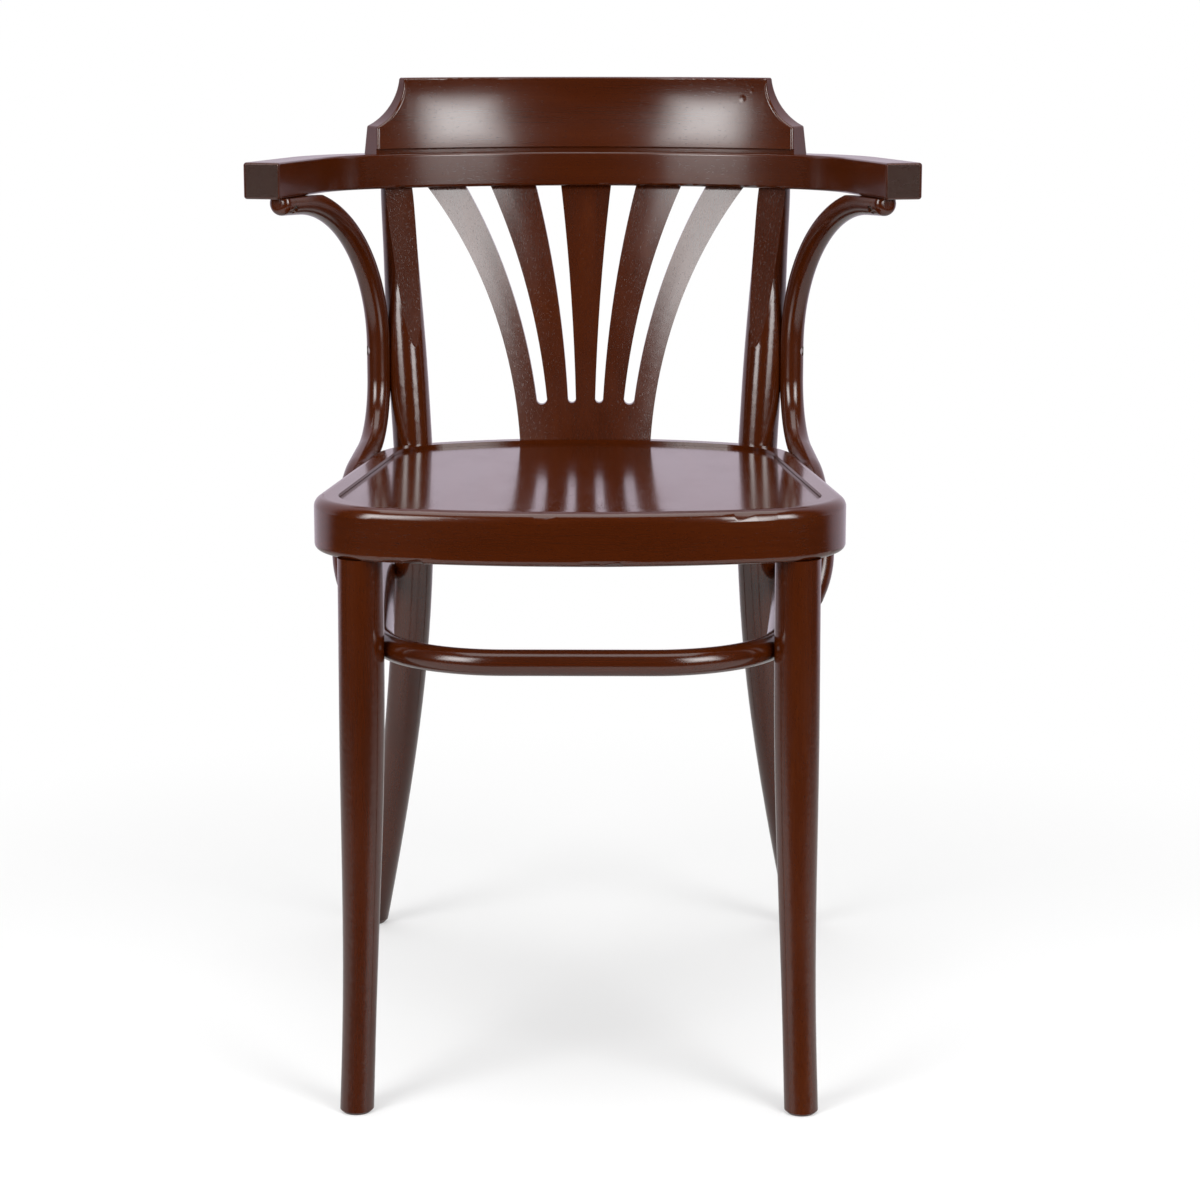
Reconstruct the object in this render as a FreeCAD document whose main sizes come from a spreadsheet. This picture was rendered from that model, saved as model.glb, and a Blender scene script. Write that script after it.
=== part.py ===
import FreeCAD, Part
import Sketcher
import math
import os

# Bentwood armchair with a fan back.
# Millimetres. X is to the right of a person looking at the chair from the front, Y points
# to the back, Z is up. The origin is on the floor, half way between the front and rear feet.

# Driving dimensions: name, value, what it is

SIZES = [
    ("foot_depth", 521.0, "front edge of the front feet to rear edge of the rear feet"),
    ("seat_height", 466.0, "floor to the top of the seat ring"),
    ("seat_width", 410.0, "widest part of the seat ring"),
    ("seat_rear_width", 360.0, "width of the seat ring across its rear corners"),
    ("seat_depth", 420.0, "front to back of the seat ring"),
    ("seat_front_gap", 12.0, "front of the feet to the front of the seat ring"),
    ("seat_front_radius", 590.0, "bow of the front of the seat"),
    ("seat_corner_radius", 75.0, "front corners of the seat"),
    ("seat_rear_corner_radius", 85.0, "rear corners of the seat"),
    ("seat_rear_radius", 310.0, "bow of the rear of the seat"),
    ("ring_height", 41.0, "height of the bent seat ring"),
    ("ring_width", 34.0, "thickness of the seat ring seen from above"),
    ("ring_rim", 19.0, "part of that thickness outside the panel's rebate"),
    ("ring_top_round", 8.0, "rounding of the ring's upper outer edge"),
    ("ring_bottom_round", 5.0, "rounding of the ring's lower outer edge"),
    ("panel_thickness", 8.0, "seat panel"),
    ("panel_recess", 3.0, "seat panel below the top of the ring"),
    ("panel_gap", 0.5, "gap all round the seat panel"),
    ("front_leg_diameter", 35.0, "front leg under the seat"),
    ("front_foot_diameter", 26.0, "front leg at the floor"),
    ("front_leg_spread", 332.0, "between the front legs' centre lines at the seat"),
    ("front_foot_spread", 342.0, "between the front legs' centre lines at the floor"),
    ("front_leg_setback", 44.0, "front foot's centre to the leg's centre at the seat"),
    ("front_tenon_diameter", 22.0, "tenon of a front leg in the seat ring"),
    ("front_tenon_length", 24.0, "length of that tenon"),
    ("rear_leg_diameter", 34.0, "rear leg at the seat"),
    ("rear_foot_diameter", 27.0, "rear leg at the floor"),
    ("rear_foot_spread", 400.0, "between the rear legs' centre lines at the floor"),
    ("rear_leg_angle", 33.5, "place of a rear leg round the ring's rear corner, degrees"),
    ("rear_leg_notch", 4.0, "depth of the rear leg's seat against the ring"),
    ("stile_top_diameter", 27.5, "rear leg under the arm bow"),
    ("stile_top_spread", 327.0, "between the rear legs' centre lines at the arm bow"),
    ("stile_setback", 10.0, "inner face of the bow to the rear leg's centre line"),
    ("stile_facet_height", 136.0, "height of the flat on the inner side of the rear leg"),
    ("stile_facet_core", 4.0, "centre line to that flat at the top"),
    ("stile_tenon_diameter", 14.0, "tenon of a rear leg in the arm bow"),
    ("stile_tenon_length", 18.0, "length of that tenon"),
    ("stile_tenon_shoulder", 3.5, "outer side of the leg to that tenon"),
    ("foot_bevel", 2.5, "bevel round the legs' lower ends"),
    ("bow_height", 712.5, "floor to the top of the arm bow"),
    ("bow_width", 31.0, "width of the bow's bar"),
    ("bow_thickness", 29.5, "height of the bow's bar"),
    ("bow_back_gap", 458.0, "front foot's centre to the inner face of the bow at the back"),
    ("bow_back_radius", 300.0, "inner radius of the back of the bow"),
    ("bow_back_angle", 36.0, "half angle of the back of the bow, degrees"),
    ("bow_corner_radius", 110.0, "inner radius of the corners of the bow"),
    ("bow_arm_splay", 14.5, "arms open towards the front by this much, degrees"),
    ("bow_arm_length", 105.0, "straight part of an arm"),
    ("bow_edge_round", 2.5, "rounding of the long edges of the bow"),
    ("bow_end_round", 3.0, "rounding of the upright edges at the ends of the bow"),
    ("crest_height", 64.5, "crest rail above the bow"),
    ("crest_base", 24.0, "thickness of the crest rail at its foot"),
    ("crest_top", 10.0, "thickness of the crest rail at its top"),
    ("crest_setback", 2.0, "inner face of the bow to the front of the crest rail"),
    ("crest_angle", 36.0, "half angle of the crest rail, degrees"),
    ("crest_groove_height", 4.5, "shadow groove between the crest rail and the bow"),
    ("crest_groove_depth", 3.0, "depth of that groove"),
    ("crest_cove_radius", 42.0, "quarter cove at each upper corner of the crest rail"),
    ("crest_cove_reach", 15.0, "centre of the cove beyond the end of the crest rail"),
    ("crest_cove_drop", 2.0, "centre of the cove below the top of the crest rail"),
    ("crest_round", 2.0, "rounding of the crest rail's edges"),
    ("dowel_diameter", 8.0, "dowels under the crest rail"),
    ("dowel_length", 36.0, "half in the bow and half in the crest rail"),
    ("dowel_angle", 22.0, "outer dowels from the middle, degrees"),
    ("dowel_inset", 11.0, "front of the crest rail to the dowels' centres"),
    ("splat_thickness", 9.0, "fan board"),
    ("splat_base_width", 114.0, "fan board at the seat ring"),
    ("splat_top_width", 276.0, "fan board at the underside of the bow"),
    ("splat_middle_slat_base", 16.0, "middle slat of the fan at the ring"),
    ("splat_middle_slat_top", 44.0, "middle slat at the bow"),
    ("splat_inner_slot_base", 6.4, "slot beside the middle slat at the ring"),
    ("splat_inner_slot_top", 22.2, "slot beside the middle slat at the bow"),
    ("splat_second_slat_base", 17.6, "second slat at the ring"),
    ("splat_second_slat_top", 39.4, "second slat at the bow"),
    ("splat_outer_slot_base", 8.7, "slot between the second and outer slats at the ring"),
    ("splat_outer_slot_top", 21.9, "slot between the second and outer slats at the bow"),
    ("splat_ring_seat", 6.0, "fan board let into the ring"),
    ("splat_bow_seat", 8.0, "fan board let into the bow"),
    ("splat_slot_start", 34.0, "top of the ring to the lower ends of the slots"),
    ("rod_diameter", 20.0, "stretcher and arm supports"),
    ("rod_saddle", 1.2, "depth of the seats where a rod lies against another piece"),
    ("stretcher_height", 352.0, "floor to the centre of the stretcher"),
    ("stretcher_front_gap", 4.0, "front foot's centre to the stretcher's front run"),
    ("stretcher_corner_radius", 100.0, "bend of the stretcher at its centre line"),
    ("stretcher_tail", 14.0, "stretcher past the centre of the rear leg"),
    ("support_stile_angle", 23.0, "place of an arm support round the rear leg, degrees"),
    ("support_stile_lift", 79.0, "seat ring up to where an arm support lies against the leg"),
    ("support_knee_lift", 9.5, "seat ring up to the support's bend from the leg to the ring"),
    ("support_ring_gap", 286.0, "front foot's centre to the bend from the ring to the stretcher"),
    ("support_ring_drop", 18.0, "top of the seat ring down to that bend"),
    ("support_low_gap", 252.5, "front foot's centre to the support's lowest bend"),
    ("support_low_reach", 33.5, "stretcher's centre line out to that bend"),
    ("support_low_rise", 29.0, "stretcher's centre line up to that bend"),
    ("support_top_radius", 130.0, "upper bend of an arm support at its centre line"),
    ("support_knee_radius", 60.0, "bends beside the ring at their centre line"),
    ("support_low_radius", 90.0, "lowest bend of an arm support at its centre line"),
    ("support_tip_inset", 12.0, "front end of the arm to the centre of the support's tip"),
    ("support_tip_reach", 6.0, "centre of that tip past the inner face of the arm"),
    ("support_tip_drop", 3.8, "underside of the arm to the centre of the tip"),
    ("support_bend_drop", 7.3, "underside of the arm to the upper bend's corner"),
    ("support_end_round", 6.0, "rounding of the ends of an arm support"),
    ("stretcher_end_round", 3.0, "rounding of the ends of the stretcher"),
    ("support_end_advance", 22.0, "lowest bend forward to the arm support's lower end"),
    ("support_end_drop", 14.0, "arm support below the centre of the stretcher"),
    ("support_screw_inset", 12.0, "tip of an arm support to its screw"),
    ("support_screw_lift", 32.0, "slope of that screw up into the arm, degrees"),
    ("screw_diameter", 4.0, "shank of the wood screws"),
    ("screw_head_diameter", 8.0, "head of the wood screws"),
    ("screw_head_height", 2.5, "countersunk head of the wood screws"),
    ("screw_sink", 1.2, "top of a screw head below the wood"),
    ("screw_length", 32.0, "length of the wood screws"),
    ("bolt_diameter", 8.0, "bolts that hold the rear legs to the ring"),
    ("bolt_head_diameter", 18.0, "domed head of those bolts"),
    ("bolt_head_height", 4.0, "height of that dome"),
    ("bolt_head_sink", 2.6, "depth of the dome's flat seat in the rear leg"),
    ("bolt_drop", 26.0, "top of the seat ring to the bolt"),
    ("bolt_end", 4.0, "bolt past its nut"),
    ("bolt_play", 0.25, "gap between a bolt and its hole"),
    ("drill_overrun", 1.0, "drilled holes past the faces that they open in"),
    ("washer_diameter", 22.0, "washer inside the ring"),
    ("washer_thickness", 1.6, "thickness of that washer"),
    ("washer_sink", 1.5, "depth of the washer's flat seat in the ring"),
    ("nut_width", 13.0, "across the flats of the nut"),
    ("nut_height", 6.5, "height of the nut"),
]

doc = FreeCAD.newDocument("bentwood_armchair")
sheet = doc.addObject("Spreadsheet::Sheet", "dims")


def fill_sheet():
    """One row for each driving dimension: its name, its value and what it is."""
    for number, (name, value, meaning) in enumerate(SIZES, start=1):
        sheet.set("A%d" % number, name)
        sheet.set("B%d" % number, "%g" % value)
        sheet.set("C%d" % number, meaning)
        sheet.setAlias("B%d" % number, name)
    doc.recompute()


def size(name):
    return float(getattr(sheet, name))


fill_sheet()

# Places worked out from the driving dimensions

Y_FRONT_FOOT = -size("foot_depth") / 2 + size("front_foot_diameter") / 2
Y_REAR_FOOT = size("foot_depth") / 2 - size("rear_foot_diameter") / 2
Y_SEAT_FRONT = -size("foot_depth") / 2 + size("seat_front_gap")
Y_SEAT_REAR = Y_SEAT_FRONT + size("seat_depth")
Z_RING_TOP = size("seat_height")
Z_RING_BOTTOM = size("seat_height") - size("ring_height")
Z_BOW_TOP = size("bow_height")
Z_BOW_BOTTOM = size("bow_height") - size("bow_thickness")
Y_BOW_INNER = Y_FRONT_FOOT + size("bow_back_gap")
Y_BOW_CENTRE = Y_BOW_INNER - size("bow_back_radius")
ROD_RADIUS = size("rod_diameter") / 2
UP = FreeCAD.Vector(0, 0, 1)

# The same places as expressions, for the pieces that are bound to the sheet

RING_BOTTOM = "(dims.seat_height - dims.ring_height)"
BOW_BOTTOM = "(dims.bow_height - dims.bow_thickness)"
SEAT_FRONT = "(dims.seat_front_gap - dims.foot_depth / 2)"
FRONT_FOOT_Y = "(dims.front_foot_diameter / 2 - dims.foot_depth / 2)"
REAR_FOOT_Y = "(dims.foot_depth / 2 - dims.rear_foot_diameter / 2)"
BOW_CENTRE_Y = "(%s + dims.bow_back_gap - dims.bow_back_radius)" % FRONT_FOOT_Y


def sine(degrees):
    return math.sin(math.radians(degrees))


def cosine(degrees):
    return math.cos(math.radians(degrees))


def contact_angle(first, first_radius, second, second_radius):
    """Direction from both circles' centres to a line that touches them on their right side."""
    gap_x = second[0] - first[0]
    gap_y = second[1] - first[1]
    lean = math.degrees(math.atan2(gap_y, gap_x))
    return lean - math.degrees(math.acos((first_radius - second_radius) / math.hypot(gap_x, gap_y)))


def ring_corner(angle, offset):
    """A point beside the ring's rear right corner; angle from the back towards the side."""
    reach = size("seat_rear_corner_radius") + offset
    centre_x, centre_y = rear_corner_centre()
    return centre_x + reach * sine(angle), centre_y + reach * cosine(angle)


def rear_corner_centre():
    corner = size("seat_rear_corner_radius")
    centre_x = size("seat_rear_width") / 2 - corner
    gap = size("seat_rear_radius") - corner
    centre_y = Y_SEAT_REAR - size("seat_rear_radius") + math.sqrt(gap ** 2 - centre_x ** 2)
    return centre_x, centre_y


STILE_X, STILE_Y = ring_corner(
    size("rear_leg_angle"), size("rear_leg_diameter") / 2 - size("rear_leg_notch")
)
STILE_TOP_X = size("stile_top_spread") / 2
STILE_TOP_RADIUS = size("bow_back_radius") + size("stile_setback")
STILE_TOP_Y = Y_BOW_CENTRE + math.sqrt(STILE_TOP_RADIUS ** 2 - STILE_TOP_X ** 2)
Z_STILE_STRAIGHT = (Z_RING_TOP + Z_RING_BOTTOM) / 2
STILE_SWAY = 1.25


def stile_point(height):
    """Centre of the right rear leg at a height between the seat and the bow."""
    share = (height - Z_STILE_STRAIGHT) / (Z_BOW_BOTTOM - Z_STILE_STRAIGHT)
    bend = share ** STILE_SWAY
    return STILE_X + (STILE_TOP_X - STILE_X) * share, STILE_Y + (STILE_TOP_Y - STILE_Y) * bend


# Helpers for bodies, sketches and other pieces


def origin_plane(body, role):
    for feature in body.Origin.OriginFeatures:
        if feature.Role == role:
            return feature
    raise ValueError("no origin plane " + role)


def bind(item, links):
    for name, expression in links.items():
        item.setExpression(name, expression)


def new_body(name):
    return doc.addObject("PartDesign::Body", name)


def new_sketch(body, name, role, **offset):
    """A sketch on one of the body's own planes, moved along x, y or z by expressions."""
    sketch = body.newObject("Sketcher::SketchObject", name)
    sketch.AttachmentSupport = [(origin_plane(body, role), "")]
    sketch.MapMode = "FlatFace"
    for letter, expression in offset.items():
        sketch.setExpression("AttachmentOffset.Base." + letter, str(expression))
    return sketch


def new_feature(body, kind, name, links=None, **settings):
    feature = body.newObject("PartDesign::" + kind, name)
    for key, value in settings.items():
        setattr(feature, key, value)
    bind(feature, links or {})
    return feature


def join(sketch, kind, *places):
    sketch.addConstraint(Sketcher.Constraint(kind, *places))


def measure(sketch, kind, name, expression, *places):
    """A dimension in a sketch that follows an expression."""
    start = float(sketch.evalExpression(expression))
    index = sketch.addConstraint(Sketcher.Constraint(kind, *places, start))
    sketch.renameConstraint(index, name)
    sketch.setExpression("Constraints." + name, expression)


def flat(x, y):
    return FreeCAD.Vector(x, y, 0)


def round_arc(centre, radius, start, end):
    """Anticlockwise from the start angle to the end angle, in degrees."""
    circle = Part.Circle(flat(centre[0], centre[1]), UP, radius)
    return Part.ArcOfCircle(circle, math.radians(start), math.radians(end))


def arc_through(first, middle, last):
    """Anticlockwise arc through three points."""
    circle = Part.Circle(first, middle, last)
    ends = [place - circle.Center for place in (first, last)]
    if (middle - first).cross(last - middle).z < 0:
        ends.reverse()
    start, end = [math.degrees(math.atan2(place.y, place.x)) for place in ends]
    return round_arc(circle.Center, circle.Radius, start, end)


def polar(centre, radius, angle):
    return flat(centre[0] + radius * cosine(angle), centre[1] + radius * sine(angle))


def polygon(sketch, corners):
    """A closed outline of straight lines; each corner is a pair of expressions."""
    places = [tuple(float(sketch.evalExpression(term)) for term in corner) for corner in corners]
    count = len(places)
    for number in range(count):
        following = places[(number + 1) % count]
        sketch.addGeometry(Part.LineSegment(flat(*places[number]), flat(*following)))
    for number in range(count):
        join(sketch, "Coincident", number, 2, (number + 1) % count, 1)
    for number, (across, along) in enumerate(corners):
        measure(sketch, "DistanceX", "across%d" % number, across, -1, 1, number, 1)
        measure(sketch, "DistanceY", "along%d" % number, along, -1, 1, number, 1)


def circle_sketch(body, name, role, radius, **offset):
    """A circle round the origin of its own sketch."""
    sketch = new_sketch(body, name, role, **offset)
    start = float(sketch.evalExpression(radius))
    sketch.addGeometry(Part.Circle(flat(0, 0), UP, start))
    join(sketch, "Coincident", 0, 3, -1, 1)
    measure(sketch, "Radius", "radius", radius, 0)
    return sketch


def edges_of_face(shape, height):
    """Names of the outline edges of the largest level face at a height."""
    level = [
        face
        for face in shape.Faces
        if abs(face.BoundBox.ZMin - height) < 0.01 and abs(face.BoundBox.ZMax - height) < 0.01
    ]
    outline = max(level, key=lambda face: face.Area).OuterWire.Edges
    return [
        "Edge%d" % number
        for number, edge in enumerate(shape.Edges, start=1)
        if any(edge.isSame(other) for other in outline)
    ]


def edges_where(shape, test):
    """Names of the edges that pass a test."""
    return ["Edge%d" % number for number, edge in enumerate(shape.Edges, start=1) if test(edge)]


def mirrored(item, name):
    """The left-hand twin of a right-hand piece."""
    twin = doc.addObject("Part::Mirroring", name)
    twin.Source = item
    twin.Normal = FreeCAD.Vector(1, 0, 0)
    return twin


def fused(name, items):
    if len(items) == 1:
        return items[0]
    union = doc.addObject("Part::MultiFuse", name)
    union.Shapes = items
    return union


def cut(name, base, tools):
    result = doc.addObject("Part::Cut", name)
    result.Base = base
    result.Tool = fused(name + "_tools", tools)
    return result


def grouped(name, items):
    group = doc.addObject("Part::Compound", name)
    group.Links = items
    return group


def aim(item, start, direction):
    """Stand a piece that is drawn along Z at a start point, along a direction."""
    turn = FreeCAD.Rotation(UP, direction)
    item.Placement = FreeCAD.Placement(start, turn)
    return item


def cylinder(name, radius, length, start, direction=UP):
    rod = doc.addObject("Part::Cylinder", name)
    bind(rod, {"Radius": radius, "Height": length})
    return aim(rod, start, direction)


def pair(item):
    """A right-hand piece and its left-hand twin."""
    return [item, mirrored(item, item.Name + "_left")]


# Seat ring and panel


def seat_outline(sketch, inset, first=0):
    """Right half of the seat's outline, drawn from the middle of the front to the rear."""
    inner = float(sketch.evalExpression(inset))
    front = size("seat_front_radius")
    corner = size("seat_corner_radius")
    rear_corner = size("seat_rear_corner_radius")
    rear = size("seat_rear_radius")
    corner_x = size("seat_width") / 2 - corner
    corner_y = front - math.sqrt((front - corner) ** 2 - corner_x ** 2)
    rear_x, rear_y = rear_corner_centre()
    rear_y -= Y_SEAT_FRONT
    depth = size("seat_depth")
    side = contact_angle((corner_x, corner_y), corner, (rear_x, rear_y), rear_corner)
    front_end = math.degrees(math.atan2(corner_y - front, corner_x))
    rear_start = math.degrees(math.atan2(rear_y - (depth - rear), rear_x))
    sketch.addGeometry(round_arc((0, front), front - inner, -90, front_end))
    sketch.addGeometry(round_arc((corner_x, corner_y), corner - inner, front_end, side))
    start = polar((corner_x, corner_y), corner - inner, side)
    end = polar((rear_x, rear_y), rear_corner - inner, side)
    sketch.addGeometry(Part.LineSegment(start, end))
    sketch.addGeometry(round_arc((rear_x, rear_y), rear_corner - inner, side, rear_start))
    sketch.addGeometry(round_arc((0, depth - rear), rear - inner, rear_start, 90))
    for number in range(first, first + 4):
        join(sketch, "Tangent", number, 2, number + 1, 1)
    for number, end_place in ((first, 1), (first + 4, 2)):
        join(sketch, "PointOnObject", number, 3, -2)
        join(sketch, "PointOnObject", number, end_place, -2)
    radii = {
        first: "seat_front_radius",
        first + 1: "seat_corner_radius",
        first + 3: "seat_rear_corner_radius",
        first + 4: "seat_rear_radius",
    }
    for number, name in radii.items():
        measure(sketch, "Radius", "radius%d" % number, "dims.%s - (%s)" % (name, inset), number)
    half = "dims.seat_width / 2 - dims.seat_corner_radius"
    rear_half = "dims.seat_rear_width / 2 - dims.seat_rear_corner_radius"
    measure(sketch, "DistanceX", "side%d" % first, half, -1, 1, first + 1, 3)
    measure(sketch, "DistanceX", "rear_side%d" % first, rear_half, -1, 1, first + 3, 3)
    measure(sketch, "DistanceY", "front%d" % first, inset, -1, 1, first, 1)
    back = "dims.seat_depth - (%s)" % inset
    measure(sketch, "DistanceY", "rear%d" % first, back, -1, 1, first + 4, 2)


def connect(sketch, first, first_place, second, second_place):
    """A straight line between the ends of two curves."""
    start = sketch.getPoint(first, first_place)
    end = sketch.getPoint(second, second_place)
    number = sketch.addGeometry(Part.LineSegment(start, end))
    join(sketch, "Coincident", first, first_place, number, 1)
    join(sketch, "Coincident", second, second_place, number, 2)


def mirror_half(body, features):
    """The other half of a body that is drawn for X above 0 only."""
    other = new_feature(body, "Mirrored", body.Name + "_halves", Originals=features)
    other.MirrorPlane = (origin_plane(body, "YZ_Plane"), [""])
    other.Refine = True
    body.Tip = other
    return other


def round_edges(body, base, name, radius, names):
    rounding = new_feature(body, "Fillet", name, {"Radius": radius}, Base=(base, names))
    body.Tip = rounding
    return rounding


def make_ring_blank():
    body = new_body("ring_blank")
    section = new_sketch(body, "ring_half", "XY_Plane", y=SEAT_FRONT, z=RING_BOTTOM)
    seat_outline(section, "0")
    seat_outline(section, "dims.ring_width", first=5)
    connect(section, 0, 1, 5, 1)
    connect(section, 4, 2, 9, 2)
    ring = new_feature(body, "Pad", "ring_pad", {"Length": "dims.ring_height"}, Profile=section)
    rebate = new_sketch(body, "rebate_half", "XY_Plane", y=SEAT_FRONT, z="dims.seat_height")
    seat_outline(rebate, "dims.ring_rim")
    connect(rebate, 0, 1, 4, 2)
    depth = {"Length": "dims.panel_recess + dims.panel_thickness"}
    step = new_feature(body, "Pocket", "ring_rebate", depth, Profile=rebate)
    doc.recompute()
    whole = mirror_half(body, [ring, step])
    doc.recompute()
    top = edges_of_face(whole.Shape, Z_RING_TOP)
    rounded = round_edges(body, whole, "ring_top_edge", "dims.ring_top_round", top)
    doc.recompute()
    bottom = edges_of_face(rounded.Shape, Z_RING_BOTTOM)
    round_edges(body, rounded, "ring_bottom_edge", "dims.ring_bottom_round", bottom)
    return body


def make_seat_panel():
    body = new_body("seat_panel")
    level = "dims.seat_height - dims.panel_recess - dims.panel_thickness"
    section = new_sketch(body, "panel_half", "XY_Plane", y=SEAT_FRONT, z=level)
    seat_outline(section, "dims.ring_rim + dims.panel_gap")
    connect(section, 0, 1, 4, 2)
    links = {"Length": "dims.panel_thickness"}
    plate = new_feature(body, "Pad", "panel_pad", links, Profile=section)
    doc.recompute()
    mirror_half(body, [plate])
    return body


# Legs. Their sections lie at shares of the height from the floor to the ring, and of the
# height from the ring to the bow. A sway says how late a leg's curve comes in.

LEG_STEPS = (0.0, 0.07, 0.16, 0.28, 0.42, 0.58, 0.74, 0.88, 1.0)
STILE_STEPS = (0.15, 0.4, 0.65, 0.85, 1.0)
SLENDER_SHARE = 0.12
TAPER_SHARE = 0.62
STILE_TAPER_START = 0.4
FRONT_SWAY = 2.2
REAR_SWAY = 1.8


def leg_taper(share):
    """0 at the foot and 1 under the seat, with the slender part at the foot."""
    rise = min(max((share - SLENDER_SHARE) / TAPER_SHARE, 0.0), 1.0)
    return rise * rise * (3 - 2 * rise)


def front_leg_centre(height):
    sway = (1 - height / Z_RING_BOTTOM) ** FRONT_SWAY
    spread = size("front_leg_spread") / 2
    x = spread + (size("front_foot_spread") / 2 - spread) * sway
    return x, Y_FRONT_FOOT + size("front_leg_setback") * (1 - sway)


def rear_leg_centre(height):
    """Centre of the right rear leg between the floor and the seat."""
    sway = max(1 - height / Z_RING_BOTTOM, 0.0) ** REAR_SWAY
    x = STILE_X + (size("rear_foot_spread") / 2 - STILE_X) * sway
    return x, STILE_Y + (Y_REAR_FOOT - STILE_Y) * sway


def bevel_foot(body, foot, y):
    """A bevel turned round the lower end of a leg."""
    section = new_sketch(
        body, foot + "_bevel_section", "XZ_Plane", x="dims.%s_spread / 2" % foot, z="-1 * " + y
    )
    edge = "dims.%s_diameter / 2" % foot
    polygon(
        section,
        [
            (edge + " - dims.foot_bevel * 2", "-1 * dims.foot_bevel"),
            (edge + " + dims.foot_bevel * 2", "-1 * dims.foot_bevel"),
            (edge + " + dims.foot_bevel * 2", "dims.foot_bevel * 3"),
        ],
    )
    axis = (section, ["V_Axis"])
    new_feature(body, "Groove", foot + "_bevel", Profile=section, ReferenceAxis=axis)


def make_front_leg():
    body = new_body("front_leg_blank")
    sections = []
    for number, share in enumerate(LEG_STEPS):
        sway = (1 - share) ** FRONT_SWAY
        radius = "(dims.front_foot_diameter + (dims.front_leg_diameter"
        radius += " - dims.front_foot_diameter) * %.4f) / 2" % leg_taper(share)
        x = "(dims.front_leg_spread + (dims.front_foot_spread - dims.front_leg_spread) * %.4f) / 2"
        y = FRONT_FOOT_Y + " + dims.front_leg_setback * (1 - %.4f)" % sway
        z = "%s * %.4f" % (RING_BOTTOM, share)
        name = "front_leg_section_%d" % number
        sections.append(circle_sketch(body, name, "XY_Plane", radius, x=x % sway, y=y, z=z))
    loft = new_feature(body, "AdditiveLoft", "front_leg_loft", Profile=sections[0])
    loft.Sections = sections[1:]
    doc.recompute()
    bevel_foot(body, "front_foot", FRONT_FOOT_Y)
    tenon = circle_sketch(
        body,
        "front_tenon_circle",
        "XY_Plane",
        "dims.front_tenon_diameter / 2",
        x="dims.front_leg_spread / 2",
        y=FRONT_FOOT_Y + " + dims.front_leg_setback",
        z=RING_BOTTOM,
    )
    links = {"Length": "dims.front_tenon_length"}
    new_feature(body, "Pad", "front_tenon", links, Profile=tenon)
    return body


def make_rear_leg():
    """Foot, seat joint and stile in one bent piece, up to the underside of the bow."""
    body = new_body("rear_leg_blank")
    sections = []
    for number, share in enumerate(LEG_STEPS):
        radius = "(dims.rear_foot_diameter + (dims.rear_leg_diameter"
        radius += " - dims.rear_foot_diameter) * %.4f) / 2" % leg_taper(share)
        x, y = rear_leg_centre(share * Z_RING_BOTTOM)
        z = "%s * %.4f" % (RING_BOTTOM, share)
        name = "rear_leg_section_%d" % number
        sections.append(circle_sketch(body, name, "XY_Plane", radius, x=x, y=y, z=z))
    for number, share in enumerate(STILE_STEPS):
        height = Z_STILE_STRAIGHT + (Z_BOW_BOTTOM - Z_STILE_STRAIGHT) * share
        slim = max((share - STILE_TAPER_START) / (1 - STILE_TAPER_START), 0.0)
        radius = "(dims.rear_leg_diameter + (dims.stile_top_diameter"
        radius += " - dims.rear_leg_diameter) * %.4f) / 2" % slim
        x, y = stile_point(height)
        name = "stile_section_%d" % number
        sections.append(circle_sketch(body, name, "XY_Plane", radius, x=x, y=y, z=height))
    loft = new_feature(body, "AdditiveLoft", "rear_leg_loft", Profile=sections[0])
    loft.Sections = sections[1:]
    doc.recompute()
    bevel_foot(body, "rear_foot", REAR_FOOT_Y)
    return body


def stile_outward():
    """Unit vector from the middle of the bow's back out through the top of the stile."""
    return FreeCAD.Vector(STILE_TOP_X, STILE_TOP_Y - Y_BOW_CENTRE, 0).normalize()


def make_stile_facet():
    """Block that planes the inner side of the stile flat towards the bow."""
    inward = -stile_outward()
    low_height = Z_BOW_BOTTOM - size("stile_facet_height")
    top = FreeCAD.Vector(STILE_TOP_X, STILE_TOP_Y, Z_BOW_BOTTOM)
    top += inward * size("stile_facet_core")
    low = FreeCAD.Vector(*stile_point(low_height), low_height)
    low += inward * size("rear_leg_diameter") / 2
    upward = (top - low).normalize()
    across = upward.cross(inward).normalize()
    outward = across.cross(upward).normalize()
    block = doc.addObject("Part::Box", "stile_facet")
    reach = size("rear_leg_diameter") * 2
    block.Length = reach
    block.Width = reach
    block.Height = (top - low).Length + reach
    corner = low - across * (reach / 2)
    turn = FreeCAD.Rotation(outward, across, upward, "ZXY")
    block.Placement = FreeCAD.Placement(corner, turn)
    return block


def make_stile_tenon():
    shift = (size("stile_top_diameter") - size("stile_tenon_diameter")) / 2
    shift -= size("stile_tenon_shoulder")
    centre = FreeCAD.Vector(STILE_TOP_X, STILE_TOP_Y, Z_BOW_BOTTOM)
    centre += stile_outward() * shift
    return cylinder(
        "stile_tenon", "dims.stile_tenon_diameter / 2", "dims.stile_tenon_length", centre
    )


# Arm bow and crest rail


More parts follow.
